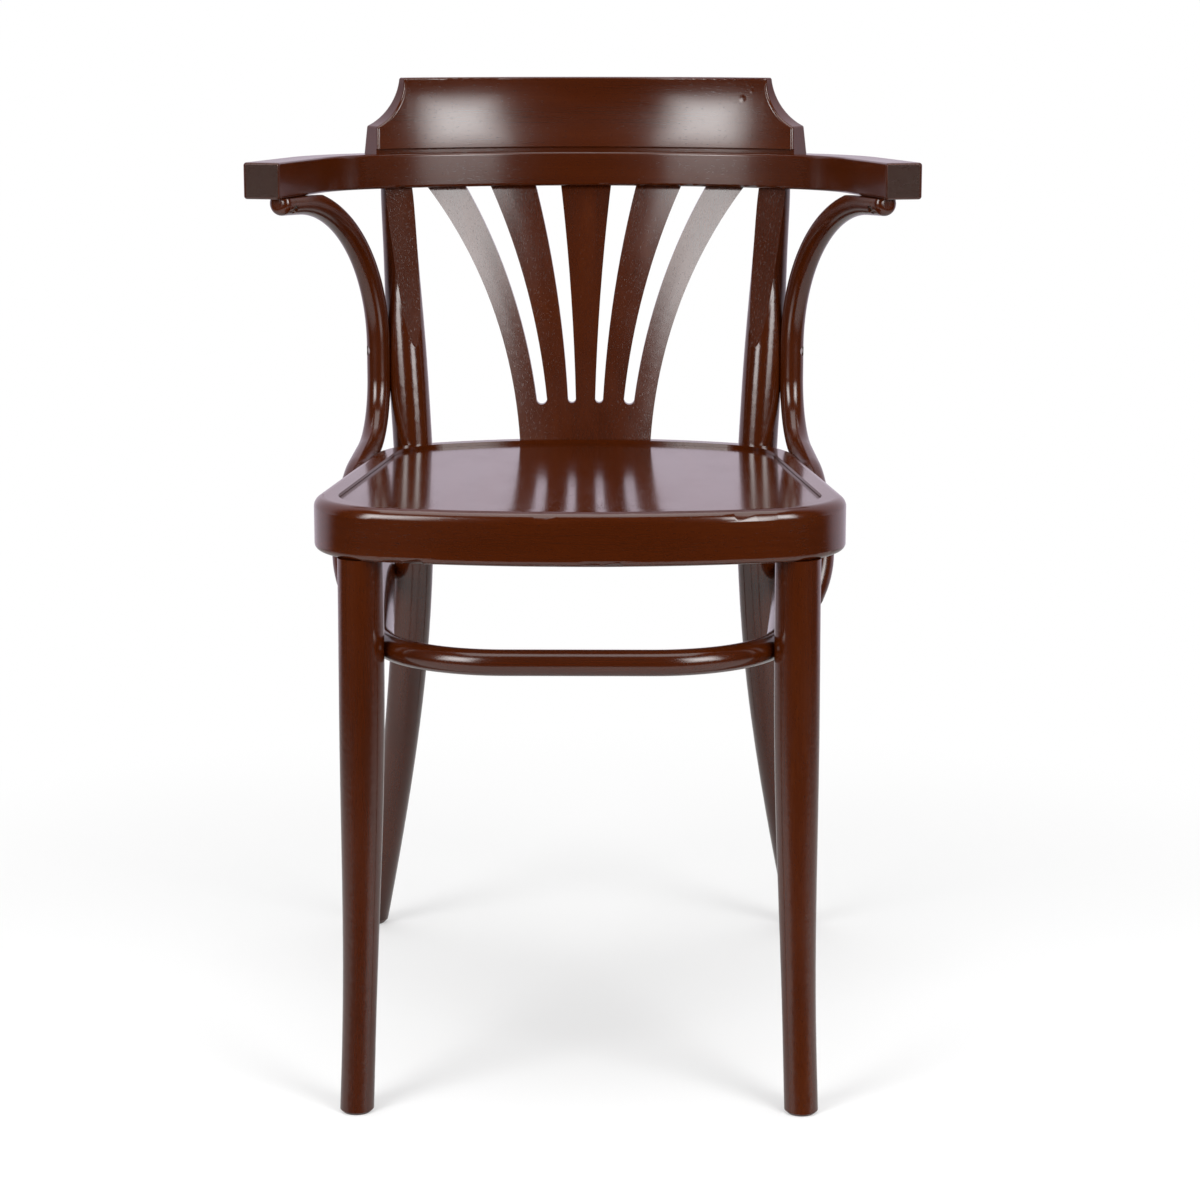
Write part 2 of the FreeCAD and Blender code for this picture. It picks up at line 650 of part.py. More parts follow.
def bow_edge(sketch, offset, first):
    """Right half of one side of the bow, drawn from the middle of the back to the arm's end."""
    extra = float(sketch.evalExpression(offset))
    back = size("bow_back_radius") + extra
    corner = size("bow_corner_radius") + extra
    angle = size("bow_back_angle")
    splay = size("bow_arm_splay")
    centre = polar((0, 0), size("bow_back_radius") - size("bow_corner_radius"), 90 - angle)
    start = polar(centre, corner, splay)
    end = start + flat(sine(splay), -cosine(splay)) * size("bow_arm_length")
    sketch.addGeometry(round_arc((0, 0), back, 90 - angle, 90))
    sketch.addGeometry(round_arc(centre, corner, splay, 90 - angle))
    sketch.addGeometry(Part.LineSegment(start, end))
    join(sketch, "Coincident", first, 3, -1, 1)
    join(sketch, "PointOnObject", first, 2, -2)
    join(sketch, "Tangent", first, 1, first + 1, 2)
    join(sketch, "Tangent", first + 1, 1, first + 2, 1)
    back_radius = "dims.bow_back_radius + " + offset
    corner_radius = "dims.bow_corner_radius + " + offset
    measure(sketch, "Radius", "back%d" % first, back_radius, first)
    measure(sketch, "Radius", "corner%d" % first, corner_radius, first + 1)
    across = "(dims.bow_back_radius - dims.bow_corner_radius) * sin(dims.bow_back_angle)"
    measure(sketch, "DistanceX", "across%d" % first, across, -1, 1, first + 1, 3)
    outward = "dims.bow_arm_length * sin(dims.bow_arm_splay)"
    forward = "dims.bow_arm_length * cos(dims.bow_arm_splay)"
    measure(sketch, "DistanceX", "outward%d" % first, outward, first + 2, 1, first + 2, 2)
    measure(sketch, "DistanceY", "forward%d" % first, forward, first + 2, 2, first + 2, 1)


def make_bow_blank():
    body = new_body("bow_blank")
    section = new_sketch(body, "bow_half", "XY_Plane", y=BOW_CENTRE_Y, z=BOW_BOTTOM)
    bow_edge(section, "0", 0)
    bow_edge(section, "dims.bow_width", 3)
    connect(section, 2, 2, 5, 2)
    connect(section, 0, 2, 3, 2)
    bar = new_feature(body, "Pad", "bow_pad", {"Length": "dims.bow_thickness"}, Profile=section)
    doc.recompute()
    whole = mirror_half(body, [bar])
    doc.recompute()
    uprights = edges_where(whole.Shape, is_upright_at_arm_end)
    ends = round_edges(body, whole, "bow_end_edges", "dims.bow_end_round", uprights)
    doc.recompute()
    outlines = edges_of_face(ends.Shape, Z_BOW_TOP) + edges_of_face(ends.Shape, Z_BOW_BOTTOM)
    round_edges(body, ends, "bow_long_edges", "dims.bow_edge_round", outlines)
    return body


def is_upright_at_arm_end(edge):
    box = edge.BoundBox
    thin = box.XLength < 0.01 and box.YLength < 0.01
    return thin and box.ZLength > 1 and box.YMax < Y_BOW_CENTRE + size("bow_corner_radius")


def make_crest_rail(dowels):
    """Curved board on the bow, thinner at its top, with a cove at each upper corner."""
    body = new_body("crest_blank")
    section = new_sketch(body, "crest_section", "YZ_Plane", x=BOW_CENTRE_Y, y="dims.bow_height")
    front = "(dims.bow_back_radius + dims.crest_setback)"
    polygon(
        section,
        [
            (front + " + dims.crest_groove_depth", "0"),
            (front + " + dims.crest_base", "0"),
            (front + " + dims.crest_top", "dims.crest_height"),
            (front, "dims.crest_height"),
            (front, "dims.crest_groove_height"),
            (front + " + dims.crest_groove_depth", "dims.crest_groove_height"),
        ],
    )
    board = new_feature(
        body,
        "Revolution",
        "crest_turn",
        {"Angle": "dims.crest_angle * 2"},
        Profile=section,
        ReferenceAxis=(section, ["V_Axis"]),
        Midplane=True,
    )
    body.Tip = board
    shape = cut("crest_shape", body, pair(make_cove()))
    doc.recompute()
    low = Z_BOW_TOP + size("crest_groove_height") + 1
    edges = [
        (number, size("crest_round"), size("crest_round"))
        for number, edge in enumerate(shape.Shape.Edges, start=1)
        if edge.BoundBox.ZMax > low
    ]
    rounded = doc.addObject("Part::Fillet", "crest_rounded")
    rounded.Base = shape
    rounded.Edges = edges
    return cut("crest_rail", rounded, [dowels])


def make_cove():
    radius = size("bow_back_radius") + size("crest_setback")
    angle = size("crest_angle") + math.degrees(size("crest_cove_reach") / radius)
    direction = FreeCAD.Vector(sine(angle), cosine(angle), 0)
    start = FreeCAD.Vector(0, Y_BOW_CENTRE, Z_BOW_TOP + size("crest_height"))
    start += direction * (radius - size("crest_base"))
    start.z -= size("crest_cove_drop")
    return cylinder("crest_cove", "dims.crest_cove_radius", "dims.crest_base * 3", start, direction)


def make_dowels():
    """Three upright pins, half in the bow and half in the crest rail."""
    radius = size("bow_back_radius") + size("crest_setback") + size("dowel_inset")
    bottom = Z_BOW_TOP - size("dowel_length") / 2
    pins = []
    for number, side in enumerate((-1, 0, 1)):
        angle = 90 + side * size("dowel_angle")
        place = polar((0, Y_BOW_CENTRE), radius, angle) + UP * bottom
        name = "crest_dowel_%d" % number
        pins.append(cylinder(name, "dims.dowel_diameter / 2", "dims.dowel_length", place))
    return grouped("crest_dowels", pins)


# Fan board

SPLAT_SWEEP = 1.85
SHEET_HALF_ANGLE = 32
SPLAT_FOOT = "(dims.seat_height - dims.splat_ring_seat)"
SPLAT_HEAD = "(%s + dims.splat_bow_seat)" % BOW_BOTTOM


def band(body, name, centre_y, level, radius):
    """Sketch of a curved band as thick as the fan board, round a centre on the middle line."""
    section = new_sketch(body, name, "XY_Plane", y=centre_y, z=level)
    middle = float(section.evalExpression(radius))
    thickness = size("splat_thickness")
    inner = middle - thickness / 2
    outer = middle + thickness / 2
    section.addGeometry(round_arc((0, 0), inner, 90 - SHEET_HALF_ANGLE, 90 + SHEET_HALF_ANGLE))
    section.addGeometry(round_arc((0, 0), outer, 90 - SHEET_HALF_ANGLE, 90 + SHEET_HALF_ANGLE))
    for place in (1, 2):
        start = section.getPoint(0, place)
        end = section.getPoint(1, place)
        section.addGeometry(Part.LineSegment(start, end))
        join(section, "Coincident", 0, place, place + 1, 1)
        join(section, "Coincident", 1, place, place + 1, 2)
        join(section, "PointOnObject", -1, 1, place + 1)
    join(section, "Coincident", 0, 3, -1, 1)
    join(section, "Coincident", 1, 3, -1, 1)
    measure(section, "Radius", "inner", radius + " - dims.splat_thickness / 2", 0)
    measure(section, "Radius", "outer", radius + " + dims.splat_thickness / 2", 1)
    for place in (1, 2):
        across = "%.4f" % abs(section.getPoint(0, place).x)
        ends = (-1, 1, 0, 1) if place == 1 else (0, 2, -1, 1)
        measure(section, "DistanceX", "end%d" % place, across, *ends)
    return section


def make_splat_sheet():
    """Sheet that follows the ring's curve at its foot and the bow's curve at its head."""
    body = new_body("splat_sheet")
    rear = SEAT_FRONT + " + dims.seat_depth - dims.seat_rear_radius"
    low_radius = "(dims.seat_rear_radius - dims.ring_rim / 2)"
    high_radius = "(dims.bow_back_radius + dims.bow_width / 2)"
    low = band(body, "splat_low_band", rear, SPLAT_FOOT, low_radius)
    high = band(body, "splat_high_band", BOW_CENTRE_Y, SPLAT_HEAD, high_radius)
    loft = new_feature(body, "AdditiveLoft", "splat_loft", Profile=low)
    loft.Sections = [high]
    loft.Ruled = True
    return body


def fan_edge(sketch, number, low, base, top):
    """One flaring edge of a slat; low is the height of its lower end above the ring."""
    head = sketch.evalExpression(SPLAT_HEAD + " - dims.seat_height")
    rise = sketch.evalExpression(BOW_BOTTOM + " - dims.seat_height")
    narrow = float(sketch.evalExpression(base))
    wide = float(sketch.evalExpression(top))
    foot = float(sketch.evalExpression(low))
    places = []
    for height in (foot, (foot + head) / 2, head):
        share = (height / rise) ** SPLAT_SWEEP
        places.append(flat(narrow + (wide - narrow) * share, height))
    arc = arc_through(*places)
    sketch.addGeometry(arc)
    middle = "(%s) + ((%s) - (%s)) * %.5f"
    low_share = (foot / rise) ** SPLAT_SWEEP
    head_share = (head / rise) ** SPLAT_SWEEP
    low_x = middle % (base, top, base, low_share)
    high_x = middle % (base, top, base, head_share)
    ends = (1, 2) if sketch.getPoint(number, 1).y < sketch.getPoint(number, 2).y else (2, 1)
    measure(sketch, "DistanceX", "low_x%d" % number, low_x, -1, 1, number, ends[0])
    measure(sketch, "DistanceX", "high_x%d" % number, high_x, -1, 1, number, ends[1])
    if foot:
        measure(sketch, "DistanceY", "low_y%d" % number, low, -1, 1, number, ends[0])
    else:
        join(sketch, "PointOnObject", number, ends[0], -1)
    high_y = SPLAT_HEAD + " - dims.seat_height"
    measure(sketch, "DistanceY", "high_y%d" % number, high_y, -1, 1, number, ends[1])
    measure(sketch, "Radius", "sweep%d" % number, "%.4f" % arc.Radius, number)
    return ends


def make_fan_outline():
    """Half of the fan seen from the front: foot, flaring side and head."""
    body = new_body("fan_outline")
    side = new_sketch(body, "fan_half", "XZ_Plane", y="dims.seat_height")
    low, high = fan_edge(side, 0, "0", "dims.splat_base_width / 2", "dims.splat_top_width / 2")
    foot_x = size("splat_base_width") / 2
    foot_z = -size("splat_ring_seat")
    head = side.getPoint(0, high)
    corners = (
        side.getPoint(0, low),
        FreeCAD.Vector(foot_x, foot_z, 0),
        FreeCAD.Vector(0, foot_z, 0),
        FreeCAD.Vector(0, head.y, 0),
        head,
    )
    for start, end in zip(corners, corners[1:]):
        side.addGeometry(Part.LineSegment(start, end))
    join(side, "Coincident", 0, low, 1, 1)
    for number in (1, 2, 3):
        join(side, "Coincident", number, 2, number + 1, 1)
    join(side, "Coincident", 4, 2, 0, high)
    join(side, "Vertical", 1)
    join(side, "Horizontal", 2)
    join(side, "Horizontal", 4)
    join(side, "PointOnObject", 2, 2, -2)
    join(side, "PointOnObject", 3, 2, -2)
    measure(side, "DistanceY", "foot", "dims.splat_ring_seat", 2, 2, -1, 1)
    length = {"Length": "dims.foot_depth * 2"}
    plate = new_feature(body, "Pad", "fan_pad", length, Profile=side, Midplane=True)
    doc.recompute()
    mirror_half(body, [plate])
    return body


def make_slot(name, inner_base, inner_top, outer_base, outer_top):
    """One slot of the fan, open at its top and round at its lower end."""
    body = new_body(name)
    outline = new_sketch(body, name + "_outline", "XZ_Plane", y="dims.seat_height")
    start = "dims.splat_slot_start"
    inner = fan_edge(outline, 0, start, inner_base, inner_top)
    outer = fan_edge(outline, 1, start, outer_base, outer_top)
    connect(outline, 0, inner[1], 1, outer[1])
    left = outline.getPoint(0, inner[0])
    right = outline.getPoint(1, outer[0])
    middle = (left + right) * 0.5
    outline.addGeometry(round_arc(middle, (right - left).Length / 2, 180, 360))
    join(outline, "Coincident", 3, 1, 0, inner[0])
    join(outline, "Coincident", 3, 2, 1, outer[0])
    measure(outline, "DistanceY", "round_end", start, -1, 1, 3, 3)
    length = {"Length": "dims.foot_depth * 2"}
    new_feature(body, "Pad", name + "_pad", length, Profile=outline, Midplane=True)
    return body


def make_splat():
    sheet_body = make_splat_sheet()
    outline = make_fan_outline()
    middle = "dims.splat_middle_slat_%s / 2"
    inner = middle + " + dims.splat_inner_slot_%s"
    second = inner + " + dims.splat_second_slat_%s"
    outer = second + " + dims.splat_outer_slot_%s"
    slots = []
    for name, near, far in (("inner_slot", middle, inner), ("outer_slot", second, outer)):
        ends = [
            text.replace("%s", place) for text in (near, far) for place in ("base", "top")
        ]
        slots += pair(make_slot(name, *ends))
    fan = doc.addObject("Part::Common", "fan_board")
    fan.Base = sheet_body
    fan.Tool = outline
    return cut("fan_splat", fan, slots)


# Stretcher and arm supports


def front_leg_at(height):
    return FreeCAD.Vector(*front_leg_centre(height), height)


def rear_leg_at(height):
    return FreeCAD.Vector(*rear_leg_centre(height), height)


def stretcher_corner():
    """Centre of the stretcher's right bend, so that the bend lies against the front leg."""
    height = size("stretcher_height")
    leg = front_leg_at(height)
    radius = size("stretcher_corner_radius")
    reach = radius + size("front_leg_diameter") / 2 + ROD_RADIUS - size("rod_saddle")
    y = Y_FRONT_FOOT + size("stretcher_front_gap") + radius
    x = leg.x - math.sqrt(reach ** 2 - (leg.y - y) ** 2)
    return FreeCAD.Vector(x, y, height)


def stretcher_side():
    """Start of the straight side and its direction to the back, against the rear leg."""
    centre = stretcher_corner()
    leg = rear_leg_at(size("stretcher_height"))
    radius = size("stretcher_corner_radius")
    reach = size("rear_leg_diameter") / 2 + ROD_RADIUS - size("rod_saddle")
    angle = contact_angle((centre.x, centre.y), radius, (leg.x, leg.y), reach)
    outward = flat(cosine(angle), sine(angle))
    return centre + outward * radius, flat(-sine(angle), cosine(angle)), outward


def stretcher_side_at(y):
    start, along, outward = stretcher_side()
    return start + along * ((y - start.y) / along.y)


def make_stretcher_blank():
    body = new_body("stretcher_blank")
    path = new_sketch(body, "stretcher_path", "XY_Plane", z="dims.stretcher_height")
    start, along, outward = stretcher_side()
    centre = stretcher_corner()
    front_y = Y_FRONT_FOOT + size("stretcher_front_gap")
    tail_y = rear_leg_at(size("stretcher_height")).y + size("stretcher_tail")
    tail = stretcher_side_at(tail_y)
    bend_angle = math.degrees(math.atan2(outward.y, outward.x))
    path.addGeometry(Part.LineSegment(flat(0, front_y), flat(centre.x, front_y)))
    radius = size("stretcher_corner_radius")
    path.addGeometry(round_arc((centre.x, centre.y), radius, -90, bend_angle))
    path.addGeometry(Part.LineSegment(flat(start.x, start.y), flat(tail.x, tail.y)))
    join(path, "Horizontal", 0)
    join(path, "PointOnObject", 0, 1, -2)
    join(path, "Tangent", 0, 2, 1, 1)
    join(path, "Tangent", 1, 2, 2, 1)
    front = "-1 * (%s + dims.stretcher_front_gap)" % FRONT_FOOT_Y
    measure(path, "DistanceY", "front", front, 0, 1, -1, 1)
    measure(path, "Radius", "bend", "dims.stretcher_corner_radius", 1)
    measure(path, "DistanceX", "bend_centre", "%.4f" % centre.x, -1, 1, 1, 3)
    measure(path, "DistanceX", "tail_x", "%.4f" % tail.x, -1, 1, 2, 2)
    measure(path, "DistanceY", "tail_y", "%.4f" % tail.y, -1, 1, 2, 2)
    section = circle_sketch(
        body,
        "stretcher_section",
        "YZ_Plane",
        "dims.rod_diameter / 2",
        x=FRONT_FOOT_Y + " + dims.stretcher_front_gap",
        y="dims.stretcher_height",
    )
    rod = new_feature(body, "AdditivePipe", "stretcher_rod", Profile=section)
    rod.Spine = (path, ["Edge1", "Edge2", "Edge3"])
    doc.recompute()
    whole = mirror_half(body, [rod])
    doc.recompute()
    ends = edges_where(whole.Shape, lambda edge: edge.BoundBox.YMin > tail_y - ROD_RADIUS)
    round_edges(body, whole, "stretcher_ends", "dims.stretcher_end_round", ends)
    return body


def bend_middle(before, corner, after, radius):
    """Middle of the arc that rounds a corner of a path."""
    incoming = (corner - before).normalize()
    outgoing = (after - corner).normalize()
    bulge = radius / math.cos(incoming.getAngle(outgoing) / 2) - radius
    return corner + (outgoing - incoming).normalize() * bulge


def bent_path(points, radii):
    """Straight runs through the points, with an arc of the given radius at each corner."""
    edges = []
    here = points[0]
    for before, corner, after, radius in zip(points, points[1:], points[2:], radii):
        incoming = (corner - before).normalize()
        outgoing = (after - corner).normalize()
        reach = radius * math.tan(incoming.getAngle(outgoing) / 2)
        start = corner - incoming * reach
        end = corner + outgoing * reach
        middle = bend_middle(before, corner, after, radius)
        edges.append(Part.makeLine(here, start))
        edges.append(Part.Arc(start, middle, end).toShape())
        here = end
    edges.append(Part.makeLine(here, points[-1]))
    return Part.Wire(edges)


def arm_end():
    """Inner corner of the arm's front end, and the arm's outward and forward directions."""
    splay = size("bow_arm_splay")
    outward = flat(cosine(splay), sine(splay))
    forward = flat(sine(splay), -cosine(splay))
    inner = size("bow_back_radius") - size("bow_corner_radius")
    centre = polar((0, Y_BOW_CENTRE), inner, 90 - size("bow_back_angle"))
    corner = centre + outward * size("bow_corner_radius") + forward * size("bow_arm_length")
    return corner, outward, forward


ROD_TOUCH = ROD_RADIUS - size("rod_saddle")


def support_away_from_stile():
    angle = size("support_stile_angle")
    return flat(cosine(angle), -sine(angle))


def support_past_ring(knee):
    """Where the run from the knee touches the ring's corner, and out from the ring there."""
    centre = rear_corner_centre()
    reach = size("seat_rear_corner_radius") + ROD_TOUCH
    angle = contact_angle(centre, reach, (knee.x, knee.y), 0)
    return polar(centre, reach, angle), polar((0, 0), 1, angle)


def support_foot(bend):
    """Lower end of the run that leans in from the lowest bend and touches the stretcher."""
    _, along, outward = stretcher_side()
    reach = size("support_low_reach")
    rise = size("support_low_rise")
    touch = ROD_RADIUS + ROD_TOUCH
    angle = math.atan2(rise, reach) - math.acos(touch / math.hypot(reach, rise))
    drop = rise + size("support_end_drop")
    lean = (reach - touch * math.cos(angle)) / (rise - touch * math.sin(angle))
    return bend - outward * (drop * lean) - UP * drop - along * size("support_end_advance")


def support_points():
    """Corners of the right arm support's centre line, from under the arm to the stretcher."""
    corner, outward, forward = arm_end()
    tip = corner - forward * size("support_tip_inset") + outward * size("support_tip_reach")
    tip.z = Z_BOW_BOTTOM - size("support_tip_drop")
    contact_height = Z_RING_TOP + size("support_stile_lift")
    upright = FreeCAD.Vector(*stile_point(contact_height), 0)
    upright.z = Z_BOW_BOTTOM - size("support_bend_drop")
    upright += support_away_from_stile() * (size("rear_leg_diameter") / 2 + ROD_TOUCH)
    knee = FreeCAD.Vector(upright.x, upright.y, Z_RING_TOP + size("support_knee_lift"))
    contact, ring_outward = support_past_ring(knee)
    share = (Y_FRONT_FOOT + size("support_ring_gap") - knee.y) / (contact.y - knee.y)
    turn = flat(knee.x, knee.y) + (contact - flat(knee.x, knee.y)) * share
    turn.z = Z_RING_TOP - size("support_ring_drop")
    low = stretcher_side_at(Y_FRONT_FOOT + size("support_low_gap"))
    low += stretcher_side()[2] * size("support_low_reach") + UP * size("support_low_rise")
    return [tip, upright, knee, turn, low, support_foot(low)]


def make_support_flat():
    """Block on the level of the arm's underside; it planes the support's end flat on top."""
    block = doc.addObject("Part::Box", "support_flat")
    bind(
        block,
        {
            "Length": "dims.seat_width",
            "Width": "dims.foot_depth",
            "Height": "dims.bow_thickness",
            "Placement.Base.y": FRONT_FOOT_Y,
            "Placement.Base.z": BOW_BOTTOM,
        },
    )
    return block


def make_support_rod():
    points = support_points()
    beside_ring = size("support_knee_radius")
    bends = (size("support_top_radius"), beside_ring, beside_ring, size("support_low_radius"))
    path = doc.addObject("Part::Feature", "support_path")
    path.Shape = bent_path(points, bends)
    section = doc.addObject("Part::Circle", "support_section")
    section.setExpression("Radius", "dims.rod_diameter / 2")
    aim(section, points[0], points[1] - points[0])
    rod = doc.addObject("Part::Sweep", "support_rod")
    rod.Sections = [section]
    rod.Spine = (path, ["Edge%d" % number for number in range(1, len(path.Shape.Edges) + 1)])
    rod.Solid = True
    doc.recompute()
    ends = [
        (number, size("support_end_round"), size("support_end_round"))
        for number, edge in enumerate(rod.Shape.Edges, start=1)
        if any(
            abs(edge.CenterOfMass.distanceToPoint(place)) < 0.1
            for place in (points[0], points[-1])
        )
    ]
    rounded = doc.addObject("Part::Fillet", "support_rod_rounded")
    rounded.Base = rod
    rounded.Edges = ends
    return rounded


# Screws and bolts


def make_screw(name, head, direction):
    """A right-hand countersunk wood screw and the hole it sits in; head is on the surface."""
    direction = FreeCAD.Vector(direction).normalize()
    top = head + direction * size("screw_sink")
    shank_radius = "dims.screw_diameter / 2"
    shank = cylinder(name + "_shank", shank_radius, "dims.screw_length", top, direction)
    cone = doc.addObject("Part::Cone", name + "_cone")
    bind(
        cone,
        {
            "Radius1": "dims.screw_head_diameter / 2",
            "Radius2": shank_radius,
            "Height": "dims.screw_head_height",
        },
    )
    aim(cone, top, direction)
    screw = fused(name, [shank, cone])
    clear_above = size("screw_head_diameter") * 2
    start = top - direction * clear_above
    room = cylinder(
        name + "_room", "dims.screw_head_diameter / 2", "%g" % clear_above, start, direction
    )
    return screw, [screw, room]


def make_rear_bolt():
    """Domed bolt, washer and nut of the right rear leg, and the holes in the leg and ring."""
    angle = size("rear_leg_angle")
    outward = flat(sine(angle), cosine(angle))
    height = Z_RING_TOP - size("bolt_drop")
    face = FreeCAD.Vector(*ring_corner(angle, 0), height)
    leg_outside = size("rear_leg_diameter") - size("rear_leg_notch")
    head_seat = face + outward * (leg_outside - size("bolt_head_sink"))
    ring_inside = -size("ring_width")
    washer_seat = face + outward * (ring_inside + size("washer_sink"))
    nut_start = washer_seat - outward * size("washer_thickness")
    bolt_length = (head_seat - nut_start).Length + size("nut_height") + size("bolt_end")
    shank = cylinder(
        "bolt_shank", "dims.bolt_diameter / 2", "%.4f" % bolt_length, head_seat, -outward
    )
    dome = make_dome(head_seat, outward)
    bolt = fused("bolt_right", [shank, dome])
    washer_disc = cylinder(
        "washer_disc", "dims.washer_diameter / 2", "dims.washer_thickness", washer_seat, -outward
    )
    play = "dims.bolt_diameter / 2 + dims.bolt_play"
    overrun = size("drill_overrun")
    hole_length = "%.4f" % (bolt_length + overrun * 2)
    hole = cylinder("bolt_hole", play, hole_length, head_seat + outward * overrun, -outward)
    washer = cut("washer_right", washer_disc, [hole])
    prism = doc.addObject("Part::Prism", "nut_prism")
    prism.Polygon = 6
    bind(prism, {"Circumradius": "dims.nut_width / sqrt(3)", "Height": "dims.nut_height"})
    aim(prism, nut_start, -outward)
    nut = cut("nut_right", prism, [shank])
    head_room = cylinder(
        "bolt_head_room", "dims.bolt_head_diameter / 2", "dims.bolt_diameter", head_seat, outward
    )
    washer_room = cylinder(
        "washer_room", "dims.washer_diameter / 2", "dims.ring_width / 2", washer_seat, -outward
    )
    return bolt, washer, nut, [hole, head_room], [hole, washer_room]


def make_dome(seat, outward):
    """Low domed head: the cap of a ball, standing on a flat seat."""
    radius = size("bolt_head_diameter") / 2
    height = size("bolt_head_height")
    ball_radius = (radius ** 2 + height ** 2) / (2 * height)
    ball = doc.addObject("Part::Sphere", "bolt_ball")
    ball.Radius = ball_radius
    aim(ball, seat + outward * (height - ball_radius), outward)
    slab = cylinder(
        "bolt_dome_slab", "dims.bolt_head_diameter / 2", "dims.bolt_head_height", seat, outward
    )
    dome = doc.addObject("Part::Common", "bolt_dome")
    dome.Base = ball
    dome.Tool = slab
    return dome


def support_screw_places():
    """Head and direction of each screw of the right arm support."""
    tip, upright, knee, turn, low, foot = support_points()
    into_arm = arm_end()[1] * cosine(size("support_screw_lift"))
    into_arm += UP * sine(size("support_screw_lift"))
    under_arm = tip + (upright - tip).normalize() * size("support_screw_inset")
    into_stile = -support_away_from_stile()
    beside_stile = FreeCAD.Vector(upright.x, upright.y, Z_RING_TOP + size("support_stile_lift"))
    contact, ring_outward = support_past_ring(knee)
    fall = (contact.y - knee.y) / (turn.y - knee.y)
    beside_ring = contact + UP * (knee.z + (turn.z - knee.z) * fall)
    rise = size("support_low_rise")
    beside_stretcher = low + (foot - low) * (rise / (low.z - foot.z))
    into_stretcher = -stretcher_side()[2]
    places = {
        "support_arm": (under_arm, into_arm),
        "support_leg": (beside_stile, into_stile),
        "support_ring": (beside_ring, -ring_outward),
        "support_stretcher": (beside_stretcher, into_stretcher),
    }
    return {name: (place - way * ROD_RADIUS, way) for name, (place, way) in places.items()}


def stretcher_screw_places():
    """Head and direction of each right-hand screw of the stretcher."""
    height = size("stretcher_height")
    bend = stretcher_corner()
    into_front_leg = (front_leg_at(height) - bend).normalize()
    front = bend + into_front_leg * (size("stretcher_corner_radius") - ROD_RADIUS)
    outward = stretcher_side()[2]
    across_leg = size("rear_leg_diameter") / 2 + ROD_RADIUS + ROD_TOUCH
    return {
        "stretcher_front": (front, into_front_leg),
        "stretcher_rear": (rear_leg_at(height) + outward * across_leg, -outward),
    }


# The whole chair


def make_chair():
    """Every piece of the chair, by the name of its file."""
    screws = {}
    holes = {}
    for name, (head, direction) in {**support_screw_places(), **stretcher_screw_places()}.items():
        screws[name], holes[name] = make_screw(name + "_screw", head, direction)
    bolt, washer, nut, leg_bolt_room, ring_bolt_room = make_rear_bolt()
    ring_blank = make_ring_blank()
    panel = make_seat_panel()
    front_blank = make_front_leg()
    rear_blank = fused("rear_leg_solid", [make_rear_leg(), make_stile_tenon()])
    bow_blank = make_bow_blank()
    dowels = make_dowels()
    crest = make_crest_rail(dowels)
    splat = make_splat()
    stretcher_blank = make_stretcher_blank()
    support_blank = make_support_rod()
    rear_leg_cuts = [ring_blank, make_stile_facet()] + leg_bolt_room
    rear_leg_cuts += holes["support_leg"] + holes["stretcher_rear"]
    front_leg = cut("front_leg_right", front_blank, holes["stretcher_front"])
    rear_leg = cut("rear_leg_right", rear_blank, rear_leg_cuts)
    support_cuts = [bow_blank, rear_blank, ring_blank, stretcher_blank, make_support_flat()]
    for name in ("support_arm", "support_leg", "support_ring", "support_stretcher"):
        support_cuts += holes[name]
    support = cut("arm_support_right", support_blank, support_cuts)
    ring_cuts = pairs([front_blank] + ring_bolt_room + holes["support_ring"]) + [splat]
    bow_cuts = pairs([rear_blank] + holes["support_arm"]) + [splat, dowels]
    stretcher_cuts = pairs(
        [front_blank, rear_blank]
        + holes["support_stretcher"]
        + holes["stretcher_front"]
        + holes["stretcher_rear"]
    )
    pieces = {
        "seat_ring": cut("seat_ring", ring_blank, ring_cuts),
        "seat_panel": panel,
        "front_leg_right": front_leg,
        "front_leg_left": mirrored(front_leg, "front_leg_left"),
        "rear_leg_right": rear_leg,
        "rear_leg_left": mirrored(rear_leg, "rear_leg_left"),
        "arm_bow": cut("arm_bow", bow_blank, bow_cuts),
        "crest_rail": crest,
        "fan_splat": splat,
        "arm_support_right": support,
        "arm_support_left": mirrored(support, "arm_support_left"),
        "leg_stretcher": cut("leg_stretcher", stretcher_blank, stretcher_cuts),
        "crest_dowels": dowels,
        "rear_leg_bolts": grouped("rear_leg_bolts", pair(bolt)),
        "rear_leg_washers": grouped("rear_leg_washers", pair(washer)),
        "rear_leg_nuts": grouped("rear_leg_nuts", pair(nut)),
    }
    for name, screw in screws.items():
        pieces[name + "_screws"] = grouped(name + "_screws", pair(screw))
    return pieces


def pairs(items):
    return [twin for item in items for twin in pair(item)]


def check(pieces):
    """Stop when a feature failed or a piece has no sound shape."""
    doc.recompute()
    for item in doc.Objects:
        faults = [state for state in item.State if state in ("Invalid", "Error")]
        if faults:
            raise RuntimeError("%s: %s" % (item.Name, faults))
    for name, item in pieces.items():
        shape = item.Shape
        if shape.isNull() or not shape.isValid() or not shape.Solids:
            raise RuntimeError("no sound shape for " + name)


def export(pieces):
    os.makedirs("parts", exist_ok=True)
    for name, item in pieces.items():
        item.Label = name
        item.Shape.exportStep("parts/%s.step" % name)


chair = make_chair()
check(chair)
export(chair)
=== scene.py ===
import math

